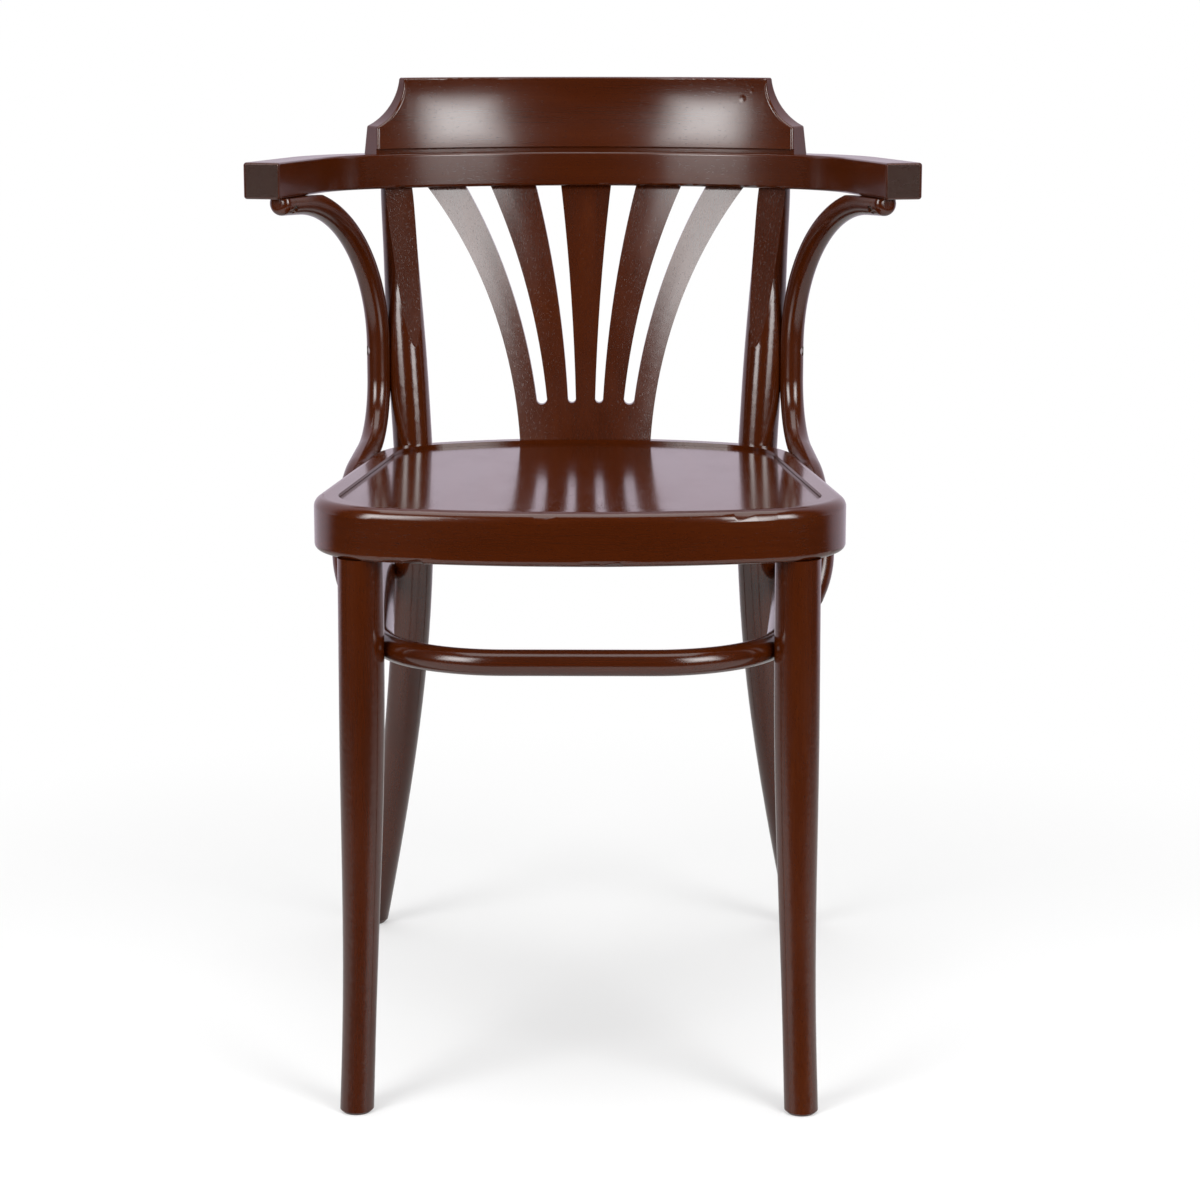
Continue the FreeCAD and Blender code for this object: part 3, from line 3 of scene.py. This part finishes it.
import bpy
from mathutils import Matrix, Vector

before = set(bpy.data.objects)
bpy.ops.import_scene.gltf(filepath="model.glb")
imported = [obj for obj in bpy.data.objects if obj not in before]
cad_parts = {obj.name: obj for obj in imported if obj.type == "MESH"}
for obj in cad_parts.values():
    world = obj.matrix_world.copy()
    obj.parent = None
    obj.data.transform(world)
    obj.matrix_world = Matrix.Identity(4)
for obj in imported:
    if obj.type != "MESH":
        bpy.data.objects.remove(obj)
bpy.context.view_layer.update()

# A bentwood armchair with a fan back, in dark stained and lacquered beech, on a white floor.
# Metres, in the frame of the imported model: X to the right, Y to the back, Z up.


def node_box(name):
    """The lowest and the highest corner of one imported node."""
    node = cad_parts[name]
    corners = [node.matrix_world @ Vector(corner) for corner in node.bound_box]
    low = [min(corner[axis] for corner in corners) for axis in range(3)]
    high = [max(corner[axis] for corner in corners) for axis in range(3)]
    return low, high


RING_LOW, RING_HIGH = node_box("seat_ring")
CREST_LOW, CREST_HIGH = node_box("crest_rail")

# Camera

# The angles are degrees; the lens and the sensor are in millimetres.
CAMERA_PLACE = (0.0345, -2.4275, 0.820)
CAMERA_TILT_DOWN = 10.886
CAMERA_TURN = 0.481
CAMERA_LENS = 89.43
CAMERA_SENSOR = 36.0

# Places on the chair that the grain follows

RING_CENTRE_Y = (RING_LOW[1] + RING_HIGH[1]) / 2.0
RING_HALF_WIDTH = 0.205
STRETCHER_CENTRE_Y = 0.0
STRETCHER_HALF_WIDTH = 0.18
BOW_CENTRE_Y = -0.0895
BOW_RADIUS = 0.315
# Power of the rounded square that stands for the outline of the seat ring and the stretcher
SQUARENESS = 5.0

# Sawn ends of the arms

# End grain shows on faces that look forward and lie ahead of a line across the arms. Each pair
# is where it begins to show and where it shows fully.
ARM_END_FACING = (-0.86, -0.94)
ARM_END_Y = (0.002, -0.001)
ARM_END_NORMAL = (0.0, -0.966, -0.259)

# Knocks in the crest rail, each with its place and its reach

DENTS = [((0.1370, 0.1830, 0.7590), 0.0050), ((0.1445, 0.1785, 0.7656), 0.0035)]

# Hollow of the crest rail's front

# The surface leans by these shares at the hollow's foot and top. The hollow starts a little above
# the rail's foot and lies on faces that look forward.
HOLLOW_START = 0.0045
HOLLOW_FOOT_Z = CREST_LOW[2] + HOLLOW_START
HOLLOW_TOP_Z = CREST_HIGH[2]
HOLLOW_FOOT_LEAN = 0.30
HOLLOW_TOP_LEAN = -0.13
HOLLOW_FACING = (-0.30, -0.70)

# Colours, as linear light

WHITE = (1.0, 1.0, 1.0)
STAIN_DARK = (0.0200, 0.0034, 0.0006)
STAIN_MIDDLE = (0.0530, 0.0086, 0.0007)
STAIN_LIGHT = (0.1000, 0.0200, 0.0020)
END_GRAIN = (0.0240, 0.0080, 0.0028)
BEECH_LIGHT = (0.480, 0.300, 0.165)
BEECH_DARK = (0.360, 0.205, 0.105)
STEEL_BRIGHT = (0.520, 0.480, 0.430)
STEEL_DULL = (0.330, 0.290, 0.250)

# Noises that follow the grain

# The repeats are counted per metre along and across the grain.
CLOUDS = {"repeats": (4.0, 10.0), "detail": 2.0, "roughness": 0.5}
BANDS = {"repeats": (2.5, 60.0), "detail": 2.0, "roughness": 0.5, "distortion": 0.2}
FIBRES = {"repeats": (20.0, 800.0), "detail": 3.0, "roughness": 0.6}
FLECKS = {"repeats": (190.0, 1500.0), "detail": 1.0, "roughness": 0.4}
SMEARS = {"repeats": (9.0, 22.0), "detail": 3.0, "roughness": 0.6}
RIPPLES = {"repeats": (26.0, 34.0), "detail": 2.0, "roughness": 0.5}
DOWEL_FIBRES = {"repeats": (20.0, 700.0), "detail": 3.0, "roughness": 0.6}

# Noises that are the same in every direction

# The repeats are counted per metre.
PORES = {"repeats": 1400.0, "detail": 2.0, "roughness": 0.7}
STEEL_CLOUDS = {"repeats": 220.0, "detail": 3.0, "roughness": 0.6}
STEEL_MARKS = {"repeats": 2600.0, "detail": 2.0, "roughness": 0.6}

# Stain

# Share of each noise in the stain's shade
CLOUD_SHARE = 0.35
BAND_SHARE = 0.35
FIBRE_SHARE = 0.30
# Shades, or noise values, between which a streak or a mark comes in
LIGHT_SHADES = (0.48, 0.72)
DARK_SHADES = (0.52, 0.30)
FLECK_EDGE = (0.64, 0.74)
PORE_EDGE = (0.45, 0.65)
# How much of the colour of a fleck and of the sawn ends shows
FLECK_STRENGTH = 0.40
END_STRENGTH = 0.85

# Lacquer

SMEAR_RANGE = (0.25, 0.75)
SMEAR_ROUGHNESS = 0.03
FLECK_ROUGHNESS = 0.04
END_ROUGHNESS = 0.06
LACQUER_IOR = 1.5
COAT_WEIGHT = 0.35
COAT_ROUGHNESS = 0.12

# Roughness of bare beech and steel

NOISE_RANGE = (0.2, 0.8)
BEECH_ROUGHNESS = (0.55, 0.70)
STEEL_ROUGHNESS = (0.26, 0.44)

# Relief

WOOD_RELIEF = 0.00012
BEECH_RELIEF = 0.0001
STEEL_RELIEF = 0.00006
# Heights of the stained wood's marks, as shares of its relief
FIBRE_HEIGHT = 0.08
FLECK_HEIGHT = -0.10
RIPPLE_HEIGHT = 0.30
PORE_HEIGHT = 1.2
DENT_HEIGHT = -4.0

# Floor

FLOOR_HALF = 20.0
FLOOR_FRONT_Y = -1.1
FLOOR_COLOUR = (0.60, 0.60, 0.60)
# White glow that only the camera sees, to lift the paint and soften the shadow
FLOOR_LIFT = 0.35
# Distances from the origin between which the floor melts into white, and in mirrors into the room
FLOOR_WHITE_REACH = (0.32, 1.05)
FLOOR_MIRROR_REACH = (0.9, 2.2)
# Places between which the mirrored floor turns from the room's front to its back
FLOOR_TURN_Y = (0.2, 1.2)

# Room

MIRRORED_FRONT = (0.02, 0.02, 0.02)
MIRRORED_BACK = (0.72, 0.64, 0.74)
# Soft light of the room's front and back
ROOM_LIGHT = (0.30, 0.80)
# Y of the directions between which the mirrored room and the light turn from front to back
MIRROR_TURN = (-0.05, 0.40)
ROOM_LIGHT_TURN = (-0.20, 0.60)

# Lamps

SOFTBOX_PLACE = (1.36, -1.58, 1.28)
SOFTBOX_TARGET = (0.0, 0.0, 0.60)
SOFTBOX_SIZE = (1.12, 1.45)
# Each layer has its share of the softbox's size, and its glow.
SOFTBOX_LAYERS = [(1.0, 3.5), (0.74, 3.5), (0.48, 3.0)]
SOFTBOX_SPACING = 0.01
TOP_LAMP_PLACE = (0.0, -0.25, 2.50)
TOP_LAMP_TARGET = (0.0, 0.0, 0.40)
TOP_LAMP_SIZE = (2.00, 1.60)
TOP_LAMP_GLOW = 2.2


# Node helpers

def add_node(tree, kind, settings=None, inputs=None):
    """A new node, with its settings and the values or links of its inputs."""
    made = tree.nodes.new(kind)
    for name, value in (settings or {}).items():
        setattr(made, name, value)
    for name, value in (inputs or {}).items():
        feed(tree, made.inputs[name], value)
    return made


def feed(tree, socket, value):
    """Links an output to the socket, or writes a plain value on it; a colour is made opaque."""
    if isinstance(value, bpy.types.NodeSocket):
        tree.links.new(value, socket)
    elif socket.type == "RGBA":
        socket.default_value = (*value, 1.0)
    else:
        socket.default_value = value


def calc(tree, operation, *values):
    """The result of one sum on plain numbers or outputs."""
    made = tree.nodes.new("ShaderNodeMath")
    made.operation = operation
    for index, value in enumerate(values):
        feed(tree, made.inputs[index], value)
    return made.outputs[0]


def weighted_sum(tree, *pairs):
    """The sum of some values, each times its weight."""
    total = 0.0
    for value, weight in pairs:
        total = calc(tree, "ADD", total, calc(tree, "MULTIPLY", value, weight))
    return total


def vector_calc(tree, operation, *values):
    """The vector that one sum on vectors gives."""
    inputs = dict(enumerate(values))
    return add_node(tree, "ShaderNodeVectorMath", {"operation": operation}, inputs).outputs["Vector"]


def vector_size(tree, operation, *values):
    """The length or distance that one sum on vectors gives."""
    inputs = dict(enumerate(values))
    return add_node(tree, "ShaderNodeVectorMath", {"operation": operation}, inputs).outputs["Value"]


def vector(tree, x, y, z):
    made = add_node(tree, "ShaderNodeCombineXYZ", None, {"X": x, "Y": y, "Z": z})
    return made.outputs[0]


def split(tree, value):
    """The X, Y and Z of a vector."""
    parts = add_node(tree, "ShaderNodeSeparateXYZ", None, {0: value})
    return parts.outputs[0], parts.outputs[1], parts.outputs[2]


def remap(tree, value, low, high, to_low=0.0, to_high=1.0):
    """The value's range low..high, turned into to_low..to_high with soft ends."""
    made = add_node(
        tree,
        "ShaderNodeMapRange",
        {"interpolation_type": "SMOOTHSTEP"},
        {"Value": value, "From Min": low, "From Max": high, "To Min": to_low, "To Max": to_high},
    )
    return made.outputs[0]


def mix(tree, kind, share, first, second):
    """Two colours or two vectors, mixed by the share of the second."""
    made = tree.nodes.new("ShaderNodeMix")
    made.data_type = kind
    first_input, second_input = [s for s in made.inputs if s.type == kind][-2:]
    feed(tree, made.inputs[0], share)
    feed(tree, first_input, first)
    feed(tree, second_input, second)
    return [s for s in made.outputs if s.type == kind][0]


def noise(tree, place, repeats, detail, roughness, distortion=0.0):
    """Noise between 0 and 1."""
    made = add_node(
        tree,
        "ShaderNodeTexNoise",
        None,
        {
            "Vector": place,
            "Scale": repeats,
            "Detail": detail,
            "Roughness": roughness,
            "Distortion": distortion,
        },
    )
    return made.outputs["Fac"]


def grain_noise(tree, grain_place, repeats, detail, roughness, distortion=0.0):
    """Noise that is stretched along the grain."""
    along, across, depth = grain_place
    along_repeats, across_repeats = repeats
    stretched = vector(
        tree,
        calc(tree, "MULTIPLY", along, along_repeats),
        calc(tree, "MULTIPLY", across, across_repeats),
        calc(tree, "MULTIPLY", depth, across_repeats),
    )
    return noise(tree, stretched, 1.0, detail, roughness, distortion)


def object_place(tree):
    return tree.nodes.new("ShaderNodeTexCoord").outputs["Object"]


def surface_normal(tree):
    return tree.nodes.new("ShaderNodeNewGeometry").outputs["Normal"]


def new_material(name):
    """A material with a fresh Principled shader, its tree and that shader."""
    material = bpy.data.materials.new(name)
    material.use_nodes = True
    tree = material.node_tree
    tree.nodes.clear()
    output = tree.nodes.new("ShaderNodeOutputMaterial")
    shader = tree.nodes.new("ShaderNodeBsdfPrincipled")
    tree.links.new(shader.outputs[0], output.inputs["Surface"])
    return material, tree, shader


def lay_surface(tree, shader, colour, roughness, height, strength, relief):
    """Gives the shader its colour, its roughness and a bump, and returns the bump."""
    bump = add_node(
        tree, "ShaderNodeBump", None, {"Strength": strength, "Distance": relief, "Height": height}
    )
    feed(tree, shader.inputs["Base Color"], colour)
    feed(tree, shader.inputs["Roughness"], roughness)
    feed(tree, shader.inputs["Normal"], bump.outputs[0])
    return bump


# Ways the grain runs. Each gives the place along the grain and two places across it.

def grain_upright(tree):
    x, y, z = split(tree, object_place(tree))
    return z, x, y


def grain_front_to_back(tree):
    x, y, z = split(tree, object_place(tree))
    return y, x, z


def grain_round_bow(tree):
    """Round the back about the bow's centre, then straight along the arms."""
    x, y, z = split(tree, object_place(tree))
    behind = calc(tree, "SUBTRACT", y, BOW_CENTRE_Y)
    back = calc(tree, "MAXIMUM", behind, 0.0)
    ahead = calc(tree, "MAXIMUM", calc(tree, "MULTIPLY", behind, -1.0), 0.0)
    side = calc(tree, "ABSOLUTE", x)
    turn = calc(tree, "MULTIPLY", calc(tree, "ARCTAN2", side, back), BOW_RADIUS)
    along = calc(tree, "MULTIPLY", calc(tree, "ADD", turn, ahead), calc(tree, "SIGN", x))
    square = calc(tree, "ADD", calc(tree, "MULTIPLY", x, x), calc(tree, "MULTIPLY", back, back))
    return along, calc(tree, "SQRT", square), z


def grain_round_hoop(tree, centre_y, half_width):
    """Round a closed hoop with rounded corners; the seam is at the back."""
    x, y, z = split(tree, object_place(tree))
    back = calc(tree, "SUBTRACT", y, centre_y)
    front = calc(tree, "MULTIPLY", back, -1.0)
    along = calc(tree, "MULTIPLY", calc(tree, "ARCTAN2", x, front), half_width)
    x_share = calc(tree, "POWER", calc(tree, "ABSOLUTE", x), SQUARENESS)
    y_share = calc(tree, "POWER", calc(tree, "ABSOLUTE", back), SQUARENESS)
    across = calc(tree, "POWER", calc(tree, "ADD", x_share, y_share), 1.0 / SQUARENESS)
    return along, across, z


def grain_seat_ring(tree):
    return grain_round_hoop(tree, RING_CENTRE_Y, RING_HALF_WIDTH)


def grain_stretcher(tree):
    return grain_round_hoop(tree, STRETCHER_CENTRE_Y, STRETCHER_HALF_WIDTH)


# Marks at single places of the chair

def arm_end_mask(tree):
    """1 on the sawn ends of the arms, 0 elsewhere."""
    facing = remap(tree, split(tree, surface_normal(tree))[1], *ARM_END_FACING)
    ahead = remap(tree, split(tree, object_place(tree))[1], *ARM_END_Y)
    return calc(tree, "MULTIPLY", facing, ahead)


def arm_end_normal(tree, mask):
    """The surface normal, turned to the front and a little down where the mask is 1."""
    return mix(tree, "VECTOR", mask, surface_normal(tree), ARM_END_NORMAL)


def crest_dents(tree):
    """Small knocks in the crest rail, 1 at the middle of each."""
    total = 0.0
    for centre, reach in DENTS:
        gap = vector_size(tree, "DISTANCE", object_place(tree), centre)
        total = calc(tree, "ADD", total, remap(tree, gap, reach, 0.0))
    return total


def crest_normal(tree):
    """The surface normal, tipped as on a face that is hollowed from its foot to its top."""
    normal = surface_normal(tree)
    front = remap(tree, split(tree, normal)[1], *HOLLOW_FACING)
    z = split(tree, object_place(tree))[2]
    above_foot = calc(tree, "SUBTRACT", z, HOLLOW_FOOT_Z)
    rise = calc(tree, "DIVIDE", above_foot, HOLLOW_TOP_Z - HOLLOW_FOOT_Z)
    lean = calc(tree, "MULTIPLY", rise, HOLLOW_TOP_LEAN - HOLLOW_FOOT_LEAN)
    lean = calc(tree, "MULTIPLY", calc(tree, "ADD", lean, HOLLOW_FOOT_LEAN), front)
    tipped = vector_calc(tree, "ADD", normal, vector(tree, 0.0, 0.0, lean))
    return vector_calc(tree, "NORMALIZE", tipped)


# Materials

def stain_colour(tree, place, fibres, fleck, figure):
    """Cloudy red-brown stain, with light and dark streaks as strong as the figure."""
    clouds = grain_noise(tree, place, **CLOUDS)
    bands = grain_noise(tree, place, **BANDS)
    shade = weighted_sum(tree, (clouds, CLOUD_SHARE), (bands, BAND_SHARE), (fibres, FIBRE_SHARE))
    light = calc(tree, "MULTIPLY", remap(tree, shade, *LIGHT_SHADES), figure)
    dark = calc(tree, "MULTIPLY", remap(tree, shade, *DARK_SHADES), figure)
    spots = calc(tree, "MULTIPLY", fleck, FLECK_STRENGTH)
    colour = mix(tree, "RGBA", light, STAIN_MIDDLE, STAIN_LIGHT)
    colour = mix(tree, "RGBA", dark, colour, STAIN_DARK)
    return mix(tree, "RGBA", spots, colour, STAIN_DARK)


def lacquer_roughness(tree, place, fleck, gloss):
    """Roughness about the gloss value, a little uneven and duller on the flecks."""
    smears = grain_noise(tree, place, **SMEARS)
    low = gloss - SMEAR_ROUGHNESS
    high = gloss + SMEAR_ROUGHNESS
    uneven = remap(tree, smears, *SMEAR_RANGE, low, high)
    return calc(tree, "ADD", uneven, calc(tree, "MULTIPLY", fleck, FLECK_ROUGHNESS))


def stained_wood(name, grain, gloss, figure=0.4, arm_ends=False, crest=False):
    """Beech under a dark red-brown stain: fine fibres, short flecks, cloudy stain, clear lacquer."""
    material, tree, shader = new_material(name)
    place = grain(tree)
    fibres = grain_noise(tree, place, **FIBRES)
    fleck = remap(tree, grain_noise(tree, place, **FLECKS), *FLECK_EDGE)
    ripples = grain_noise(tree, place, **RIPPLES)

    colour = stain_colour(tree, place, fibres, fleck, figure)
    rough = lacquer_roughness(tree, place, fleck, gloss)
    height = weighted_sum(
        tree, (fibres, FIBRE_HEIGHT), (fleck, FLECK_HEIGHT), (ripples, RIPPLE_HEIGHT)
    )
    normal = None

    if arm_ends:
        mask = arm_end_mask(tree)
        pores = noise(tree, object_place(tree), **PORES)
        speckle = mix(tree, "RGBA", remap(tree, pores, *PORE_EDGE), END_GRAIN, STAIN_DARK)
        colour = mix(tree, "RGBA", calc(tree, "MULTIPLY", mask, END_STRENGTH), colour, speckle)
        rough = calc(tree, "ADD", rough, calc(tree, "MULTIPLY", mask, END_ROUGHNESS))
        pits = calc(tree, "MULTIPLY", pores, mask)
        height = calc(tree, "ADD", height, calc(tree, "MULTIPLY", pits, PORE_HEIGHT))
        normal = arm_end_normal(tree, mask)
    if crest:
        dents = calc(tree, "MULTIPLY", crest_dents(tree), DENT_HEIGHT)
        height = calc(tree, "ADD", height, dents)
        normal = crest_normal(tree)

    bump = lay_surface(tree, shader, colour, rough, height, strength=1.0, relief=WOOD_RELIEF)
    if normal is not None:
        feed(tree, bump.inputs["Normal"], normal)
    feed(tree, shader.inputs["Coat Normal"], bump.outputs[0])
    shader.inputs["IOR"].default_value = LACQUER_IOR
    shader.inputs["Coat Weight"].default_value = COAT_WEIGHT
    shader.inputs["Coat Roughness"].default_value = COAT_ROUGHNESS
    return material


def plain_beech(name):
    """Unstained beech of the dowels inside the back."""
    material, tree, shader = new_material(name)
    fibres = grain_noise(tree, grain_upright(tree), **DOWEL_FIBRES)
    colour = mix(tree, "RGBA", fibres, BEECH_LIGHT, BEECH_DARK)
    rough = remap(tree, fibres, *NOISE_RANGE, *BEECH_ROUGHNESS)
    lay_surface(tree, shader, colour, rough, fibres, strength=0.6, relief=BEECH_RELIEF)
    return material


def screw_steel(name):
    """Zinc-plated steel, a little dull, with fine marks."""
    material, tree, shader = new_material(name)
    place = object_place(tree)
    clouds = noise(tree, place, **STEEL_CLOUDS)
    marks = noise(tree, place, **STEEL_MARKS)
    colour = mix(tree, "RGBA", clouds, STEEL_BRIGHT, STEEL_DULL)
    rough = remap(tree, clouds, *NOISE_RANGE, *STEEL_ROUGHNESS)
    lay_surface(tree, shader, colour, rough, marks, strength=0.5, relief=STEEL_RELIEF)
    shader.inputs["Metallic"].default_value = 1.0
    return material


def dress(material, *names):
    """Gives the material to every slot of these nodes."""
    for name in names:
        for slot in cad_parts[name].material_slots:
            slot.material = material


def dress_chair():
    legs = ("front_leg_left", "front_leg_right", "rear_leg_left", "rear_leg_right")
    supports = ("arm_support_left", "arm_support_right")
    dress(stained_wood("stained_ring", grain_seat_ring, gloss=0.15), "seat_ring")
    dress(stained_wood("stained_panel", grain_front_to_back, gloss=0.14), "seat_panel")
    dress(stained_wood("stained_bow", grain_round_bow, gloss=0.20, arm_ends=True), "arm_bow")
    dress(stained_wood("stained_crest", grain_round_bow, gloss=0.21, crest=True), "crest_rail")
    dress(stained_wood("stained_splat", grain_upright, gloss=0.20, figure=0.5), "fan_splat")
    dress(stained_wood("stained_legs", grain_upright, gloss=0.18), *legs)
    dress(stained_wood("stained_stretcher", grain_stretcher, gloss=0.18), "leg_stretcher")
    dress(stained_wood("stained_supports", grain_upright, gloss=0.20), *supports)
    dress(plain_beech("dowel_beech"), "crest_dowels")
    metal = screw_steel("screw_steel")
    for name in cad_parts:
        if name.endswith(("screws", "bolts", "nuts", "washers")):
            dress(metal, name)


# Floor, room, lamps and camera

def floor_material(name):
    """Pale paint near the chair; white farther off, and in mirrors the room."""
    material = bpy.data.materials.new(name)
    material.use_nodes = True
    tree = material.node_tree
    tree.nodes.clear()
    rays = tree.nodes.new("ShaderNodeLightPath").outputs
    camera_ray = rays["Is Camera Ray"]
    glossy_ray = rays["Is Glossy Ray"]

    paint = add_node(tree, "ShaderNodeBsdfDiffuse", None, {"Color": FLOOR_COLOUR})
    lift = calc(tree, "MULTIPLY", camera_ray, FLOOR_LIFT)
    glow = add_node(tree, "ShaderNodeEmission", None, {"Strength": lift})
    lit = add_node(tree, "ShaderNodeAddShader", None, {0: paint.outputs[0], 1: glow.outputs[0]})

    place = object_place(tree)
    behind = remap(tree, split(tree, place)[1], *FLOOR_TURN_Y)
    mirrored = mix(tree, "RGBA", behind, MIRRORED_FRONT, MIRRORED_BACK)
    white = mix(tree, "RGBA", glossy_ray, WHITE, mirrored)
    backdrop = add_node(tree, "ShaderNodeEmission", None, {"Color": white})

    reach = vector_size(tree, "LENGTH", place)
    seen = calc(tree, "MULTIPLY", remap(tree, reach, *FLOOR_WHITE_REACH), camera_ray)
    reflected = calc(tree, "MULTIPLY", remap(tree, reach, *FLOOR_MIRROR_REACH), glossy_ray)
    share = calc(tree, "ADD", seen, reflected)
    layers = {0: share, 1: lit.outputs[0], 2: backdrop.outputs[0]}
    melted = add_node(tree, "ShaderNodeMixShader", None, layers)
    add_node(tree, "ShaderNodeOutputMaterial", None, {"Surface": melted.outputs[0]})
    return material


def make_floor():
    """A white floor that takes the chair's shadow and melts into the white background."""
    mesh = bpy.data.meshes.new("floor")
    corners = [
        (-FLOOR_HALF, FLOOR_FRONT_Y, 0.0),
        (FLOOR_HALF, FLOOR_FRONT_Y, 0.0),
        (FLOOR_HALF, FLOOR_HALF, 0.0),
        (-FLOOR_HALF, FLOOR_HALF, 0.0),
    ]
    mesh.from_pydata(corners, [], [(0, 1, 2, 3)])
    floor = bpy.data.objects.new("floor", mesh)
    bpy.context.scene.collection.objects.link(floor)
    mesh.materials.append(floor_material("white_floor"))


def make_world():
    """White where the camera looks; mirrors see a pale room behind and a dark one in front."""
    world = bpy.data.worlds.new("studio")
    bpy.context.scene.world = world
    world.use_nodes = True
    tree = world.node_tree
    tree.nodes.clear()
    rays = tree.nodes.new("ShaderNodeLightPath").outputs
    direction = tree.nodes.new("ShaderNodeTexCoord").outputs["Generated"]
    towards_back = split(tree, direction)[1]
    behind = remap(tree, towards_back, *MIRROR_TURN)
    mirrored = mix(tree, "RGBA", behind, MIRRORED_FRONT, MIRRORED_BACK)
    light = remap(tree, towards_back, *ROOM_LIGHT_TURN, *ROOM_LIGHT)
    level = mix(tree, "RGBA", rays["Is Glossy Ray"], vector(tree, light, light, light), mirrored)
    seen = calc(tree, "MAXIMUM", rays["Is Camera Ray"], rays["Is Transmission Ray"])
    level = mix(tree, "RGBA", seen, level, WHITE)
    background = add_node(tree, "ShaderNodeBackground", None, {"Color": level, "Strength": 1.0})
    add_node(tree, "ShaderNodeOutputWorld", None, {"Surface": background.outputs[0]})


def make_lamp(name, place, target, size, glow):
    """A rectangular lamp aimed at a point; glow is its brightness as a mirror sees it."""
    width, height = size
    lamp = bpy.data.lights.new(name, "AREA")
    lamp.shape = "RECTANGLE"
    lamp.size = width
    lamp.size_y = height
    lamp.energy = glow * math.pi * width * height
    box = bpy.data.objects.new(name, lamp)
    bpy.context.scene.collection.objects.link(box)
    box.location = place
    aim = Vector(target) - Vector(place)
    box.rotation_euler = aim.to_track_quat("-Z", "Y").to_euler()


def make_softbox(name, place, target, size):
    """Lamps one in front of the other, so that the box is brightest at its middle."""
    width, height = size
    step = (Vector(target) - Vector(place)).normalized() * SOFTBOX_SPACING
    for number, (share, glow) in enumerate(SOFTBOX_LAYERS):
        layer_place = Vector(place) + step * number
        layer_name = "%s_%d" % (name, number + 1)
        make_lamp(layer_name, layer_place, target, (width * share, height * share), glow)


def make_lights():
    x, y, z = SOFTBOX_PLACE
    make_softbox("softbox_left", (-x, y, z), SOFTBOX_TARGET, SOFTBOX_SIZE)
    make_softbox("softbox_right", (x, y, z), SOFTBOX_TARGET, SOFTBOX_SIZE)
    make_lamp("softbox_top", TOP_LAMP_PLACE, TOP_LAMP_TARGET, TOP_LAMP_SIZE, TOP_LAMP_GLOW)


def make_camera():
    data = bpy.data.cameras.new("camera")
    data.lens = CAMERA_LENS
    data.sensor_width = CAMERA_SENSOR
    camera = bpy.data.objects.new("camera", data)
    bpy.context.scene.collection.objects.link(camera)
    camera.location = CAMERA_PLACE
    camera.rotation_euler = (
        math.radians(90.0 - CAMERA_TILT_DOWN),
        0.0,
        math.radians(CAMERA_TURN),
    )
    bpy.context.scene.camera = camera


dress_chair()
make_floor()
make_world()
make_lights()
make_camera()
bpy.context.scene.view_settings.view_transform = "Standard"
